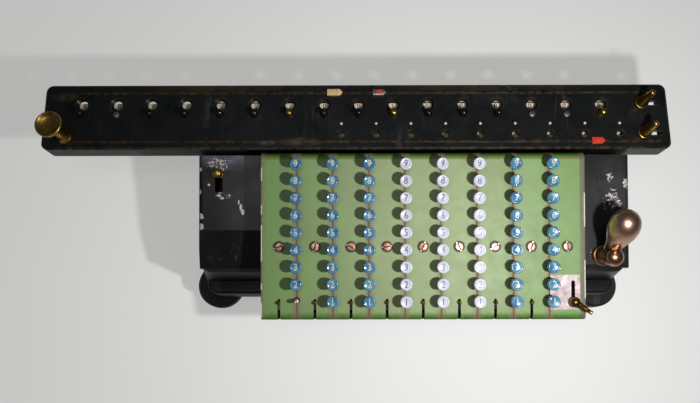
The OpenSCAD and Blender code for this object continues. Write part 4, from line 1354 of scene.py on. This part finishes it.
def markerShape(name, x, y, length):
    half = markers["half"]
    low = (x, y - half, markers["low"])
    high = (x + length - markers["point"], y + half, markers["high"])
    shape = blockShape(name, low, high, 0.0)
    clearSelection(shape)
    for face in shape.data.polygons:
        face.select = face.normal.x > 0.9
    bpy.ops.object.mode_set(mode="EDIT")
    bpy.ops.mesh.select_mode(type="FACE")
    bpy.ops.mesh.extrude_region_move(TRANSFORM_OT_translate={"value": (markers["point"], 0, 0)})
    tip = (x + length, y, 101.0)
    bpy.ops.transform.resize(value=(1, markers["pointShare"], 1), center_override=tip)
    bpy.ops.object.mode_set(mode="OBJECT")
    softenEdges(shape, markers["edge"])
    grooveLow = (x - 1, y - markers["grooveHalf"], 99.0)
    grooveHigh = (x + length + 1, y + markers["grooveHalf"], markers["grooveTop"])
    groove = blockShape("groove", grooveLow, grooveHigh, 0.0)
    return cutAway(shape, groove)


for name, x, rail, length in markers["places"]:
    shape = markerShape(name + "Shape", x, markers[rail], length)
    finish = {"creamMarker": creamEnamel, "framedMarker": nickel, "redMarker": redEnamel}[name]
    fitPiece(name, [placedCopy(shape, toMetres)], "markers", "marker_red", finish, "decimal_markers")
    putAway([shape])
inlay = markers["inlay"]
inlayLow = (inlay["start"], markers["rearRail"] - inlay["half"], inlay["low"])
inlayHigh = (inlay["end"], markers["rearRail"] + inlay["half"], inlay["high"])
inlayShape = blockShape("inlay", inlayLow, inlayHigh, inlay["edge"])
parts = [placedCopy(inlayShape, toMetres)]
fitPiece("markerInlay", parts, "markers", "marker_red", redEnamel, "decimal_markers")
putAway([inlayShape])
print("carriage fittings made")


# Floor, light and camera

stageSet = {
    "floorColour": paint(222, 222, 220),
    "floorShade": paint(208, 208, 208),
    "floorGlow": 0.52,
    "glowInGloss": 0.3,
    "coveredHalf": 0.118,  # the floor that the machine stands over, which has no glow
    "coveredMiddle": -0.014,
    "coveredDepth": 0.074,
    "coveredFade": 0.006,
    "keyPlace": (0.105, -0.125, 0.375),
    "keyAim": (0.02, -0.02, 0.09),
    "keySize": 0.022,
    "keyPower": 0.86,
    "fillPlace": (-0.14, -0.16, 1.1),
    "fillAim": (-0.06, 0.0, 0.09),
    "fillSize": 0.4,
    "fillPower": 1.1,
    "worldColour": (0.92, 0.96, 1.0, 1.0),
    "worldStrength": 0.05,
}

deselectAll()
bpy.ops.mesh.primitive_plane_add(size=6.0, location=(0, 0, 0))
floor = newShape("floor")
floorMaterial, tree, shader, place = newMaterial("floorPaper")
fibres = spread(tree, cloud(tree, place, scale=3.0, detail=3.0), 0.3, 0.7, 0.0, 0.15)
paper = blended(tree, fibres, stageSet["floorColour"], stageSet["floorShade"])
feed(tree, shader["Base Color"], paper)
feed(tree, shader["Emission Color"], paper)
rays = tree.nodes.new("ShaderNodeLightPath").outputs
mirrored = times(tree, rays["Is Glossy Ray"], stageSet["glowInGloss"])
seen = larger(tree, rays["Is Camera Ray"], mirrored)
floorX, floorY = apart(tree, place)[:2]
past = minus(tree, absolute(tree, floorX), stageSet["coveredHalf"])
behind = absolute(tree, minus(tree, floorY, stageSet["coveredMiddle"]))
past = larger(tree, past, minus(tree, behind, stageSet["coveredDepth"]))
uncovered = spread(tree, past, -stageSet["coveredFade"], 0.0)
glow = times(tree, times(tree, seen, uncovered), stageSet["floorGlow"])
feed(tree, shader["Emission Strength"], glow)
shader["Roughness"].default_value = 0.85
floor.data.materials.append(floorMaterial)


def areaLight(name, spot, target, size, power):
    lamp = bpy.data.lights.new(name, "AREA")
    lamp.shape = "DISK"
    lamp.size = size
    lamp.energy = power
    light = bpy.data.objects.new(name, lamp)
    light.matrix_world = Matrix.Translation(spot) @ aimAt(spot, target)
    bpy.context.collection.objects.link(light)


def aimAt(spot, target):
    direction = [b - a for a, b in zip(spot, target)]
    flat = math.hypot(direction[0], direction[1])
    tilt = math.atan2(flat, -direction[2])
    turn = math.atan2(direction[1], direction[0]) - math.pi / 2
    return Matrix.Rotation(turn, 4, "Z") @ Matrix.Rotation(tilt, 4, "X")


for kind in ("key", "fill"):
    areaLight(kind + "Light", stageSet[kind + "Place"], stageSet[kind + "Aim"],
              stageSet[kind + "Size"], stageSet[kind + "Power"])

scene = bpy.context.scene
world = bpy.data.worlds.new("studio")
scene.world = world
world.use_nodes = True
background = world.node_tree.nodes["Background"].inputs
background["Color"].default_value = stageSet["worldColour"]
background["Strength"].default_value = stageSet["worldStrength"]
scene.view_settings.view_transform = "Standard"

photoCamera = {
    "place": (-0.04929, -0.12374, 0.5632),
    "tilt": math.radians(13.259),
    "yaw": math.radians(0.153),
    "roll": math.radians(-0.122),
    "lens": 34.97,
    "sensor": 36.0,
}
cameraData = bpy.data.cameras.new("photoCamera")
cameraData.lens = photoCamera["lens"]
cameraData.sensor_width = photoCamera["sensor"]
cameraData.sensor_fit = "HORIZONTAL"
camera = bpy.data.objects.new("photoCamera", cameraData)
swing = Matrix.Rotation(photoCamera["yaw"], 4, "Y") @ Matrix.Rotation(photoCamera["roll"], 4, "Z")
stand = Matrix.Translation(photoCamera["place"]) @ Matrix.Rotation(photoCamera["tilt"], 4, "X")
camera.matrix_world = stand @ swing
scene.collection.objects.link(camera)
scene.camera = camera
print("stage set")
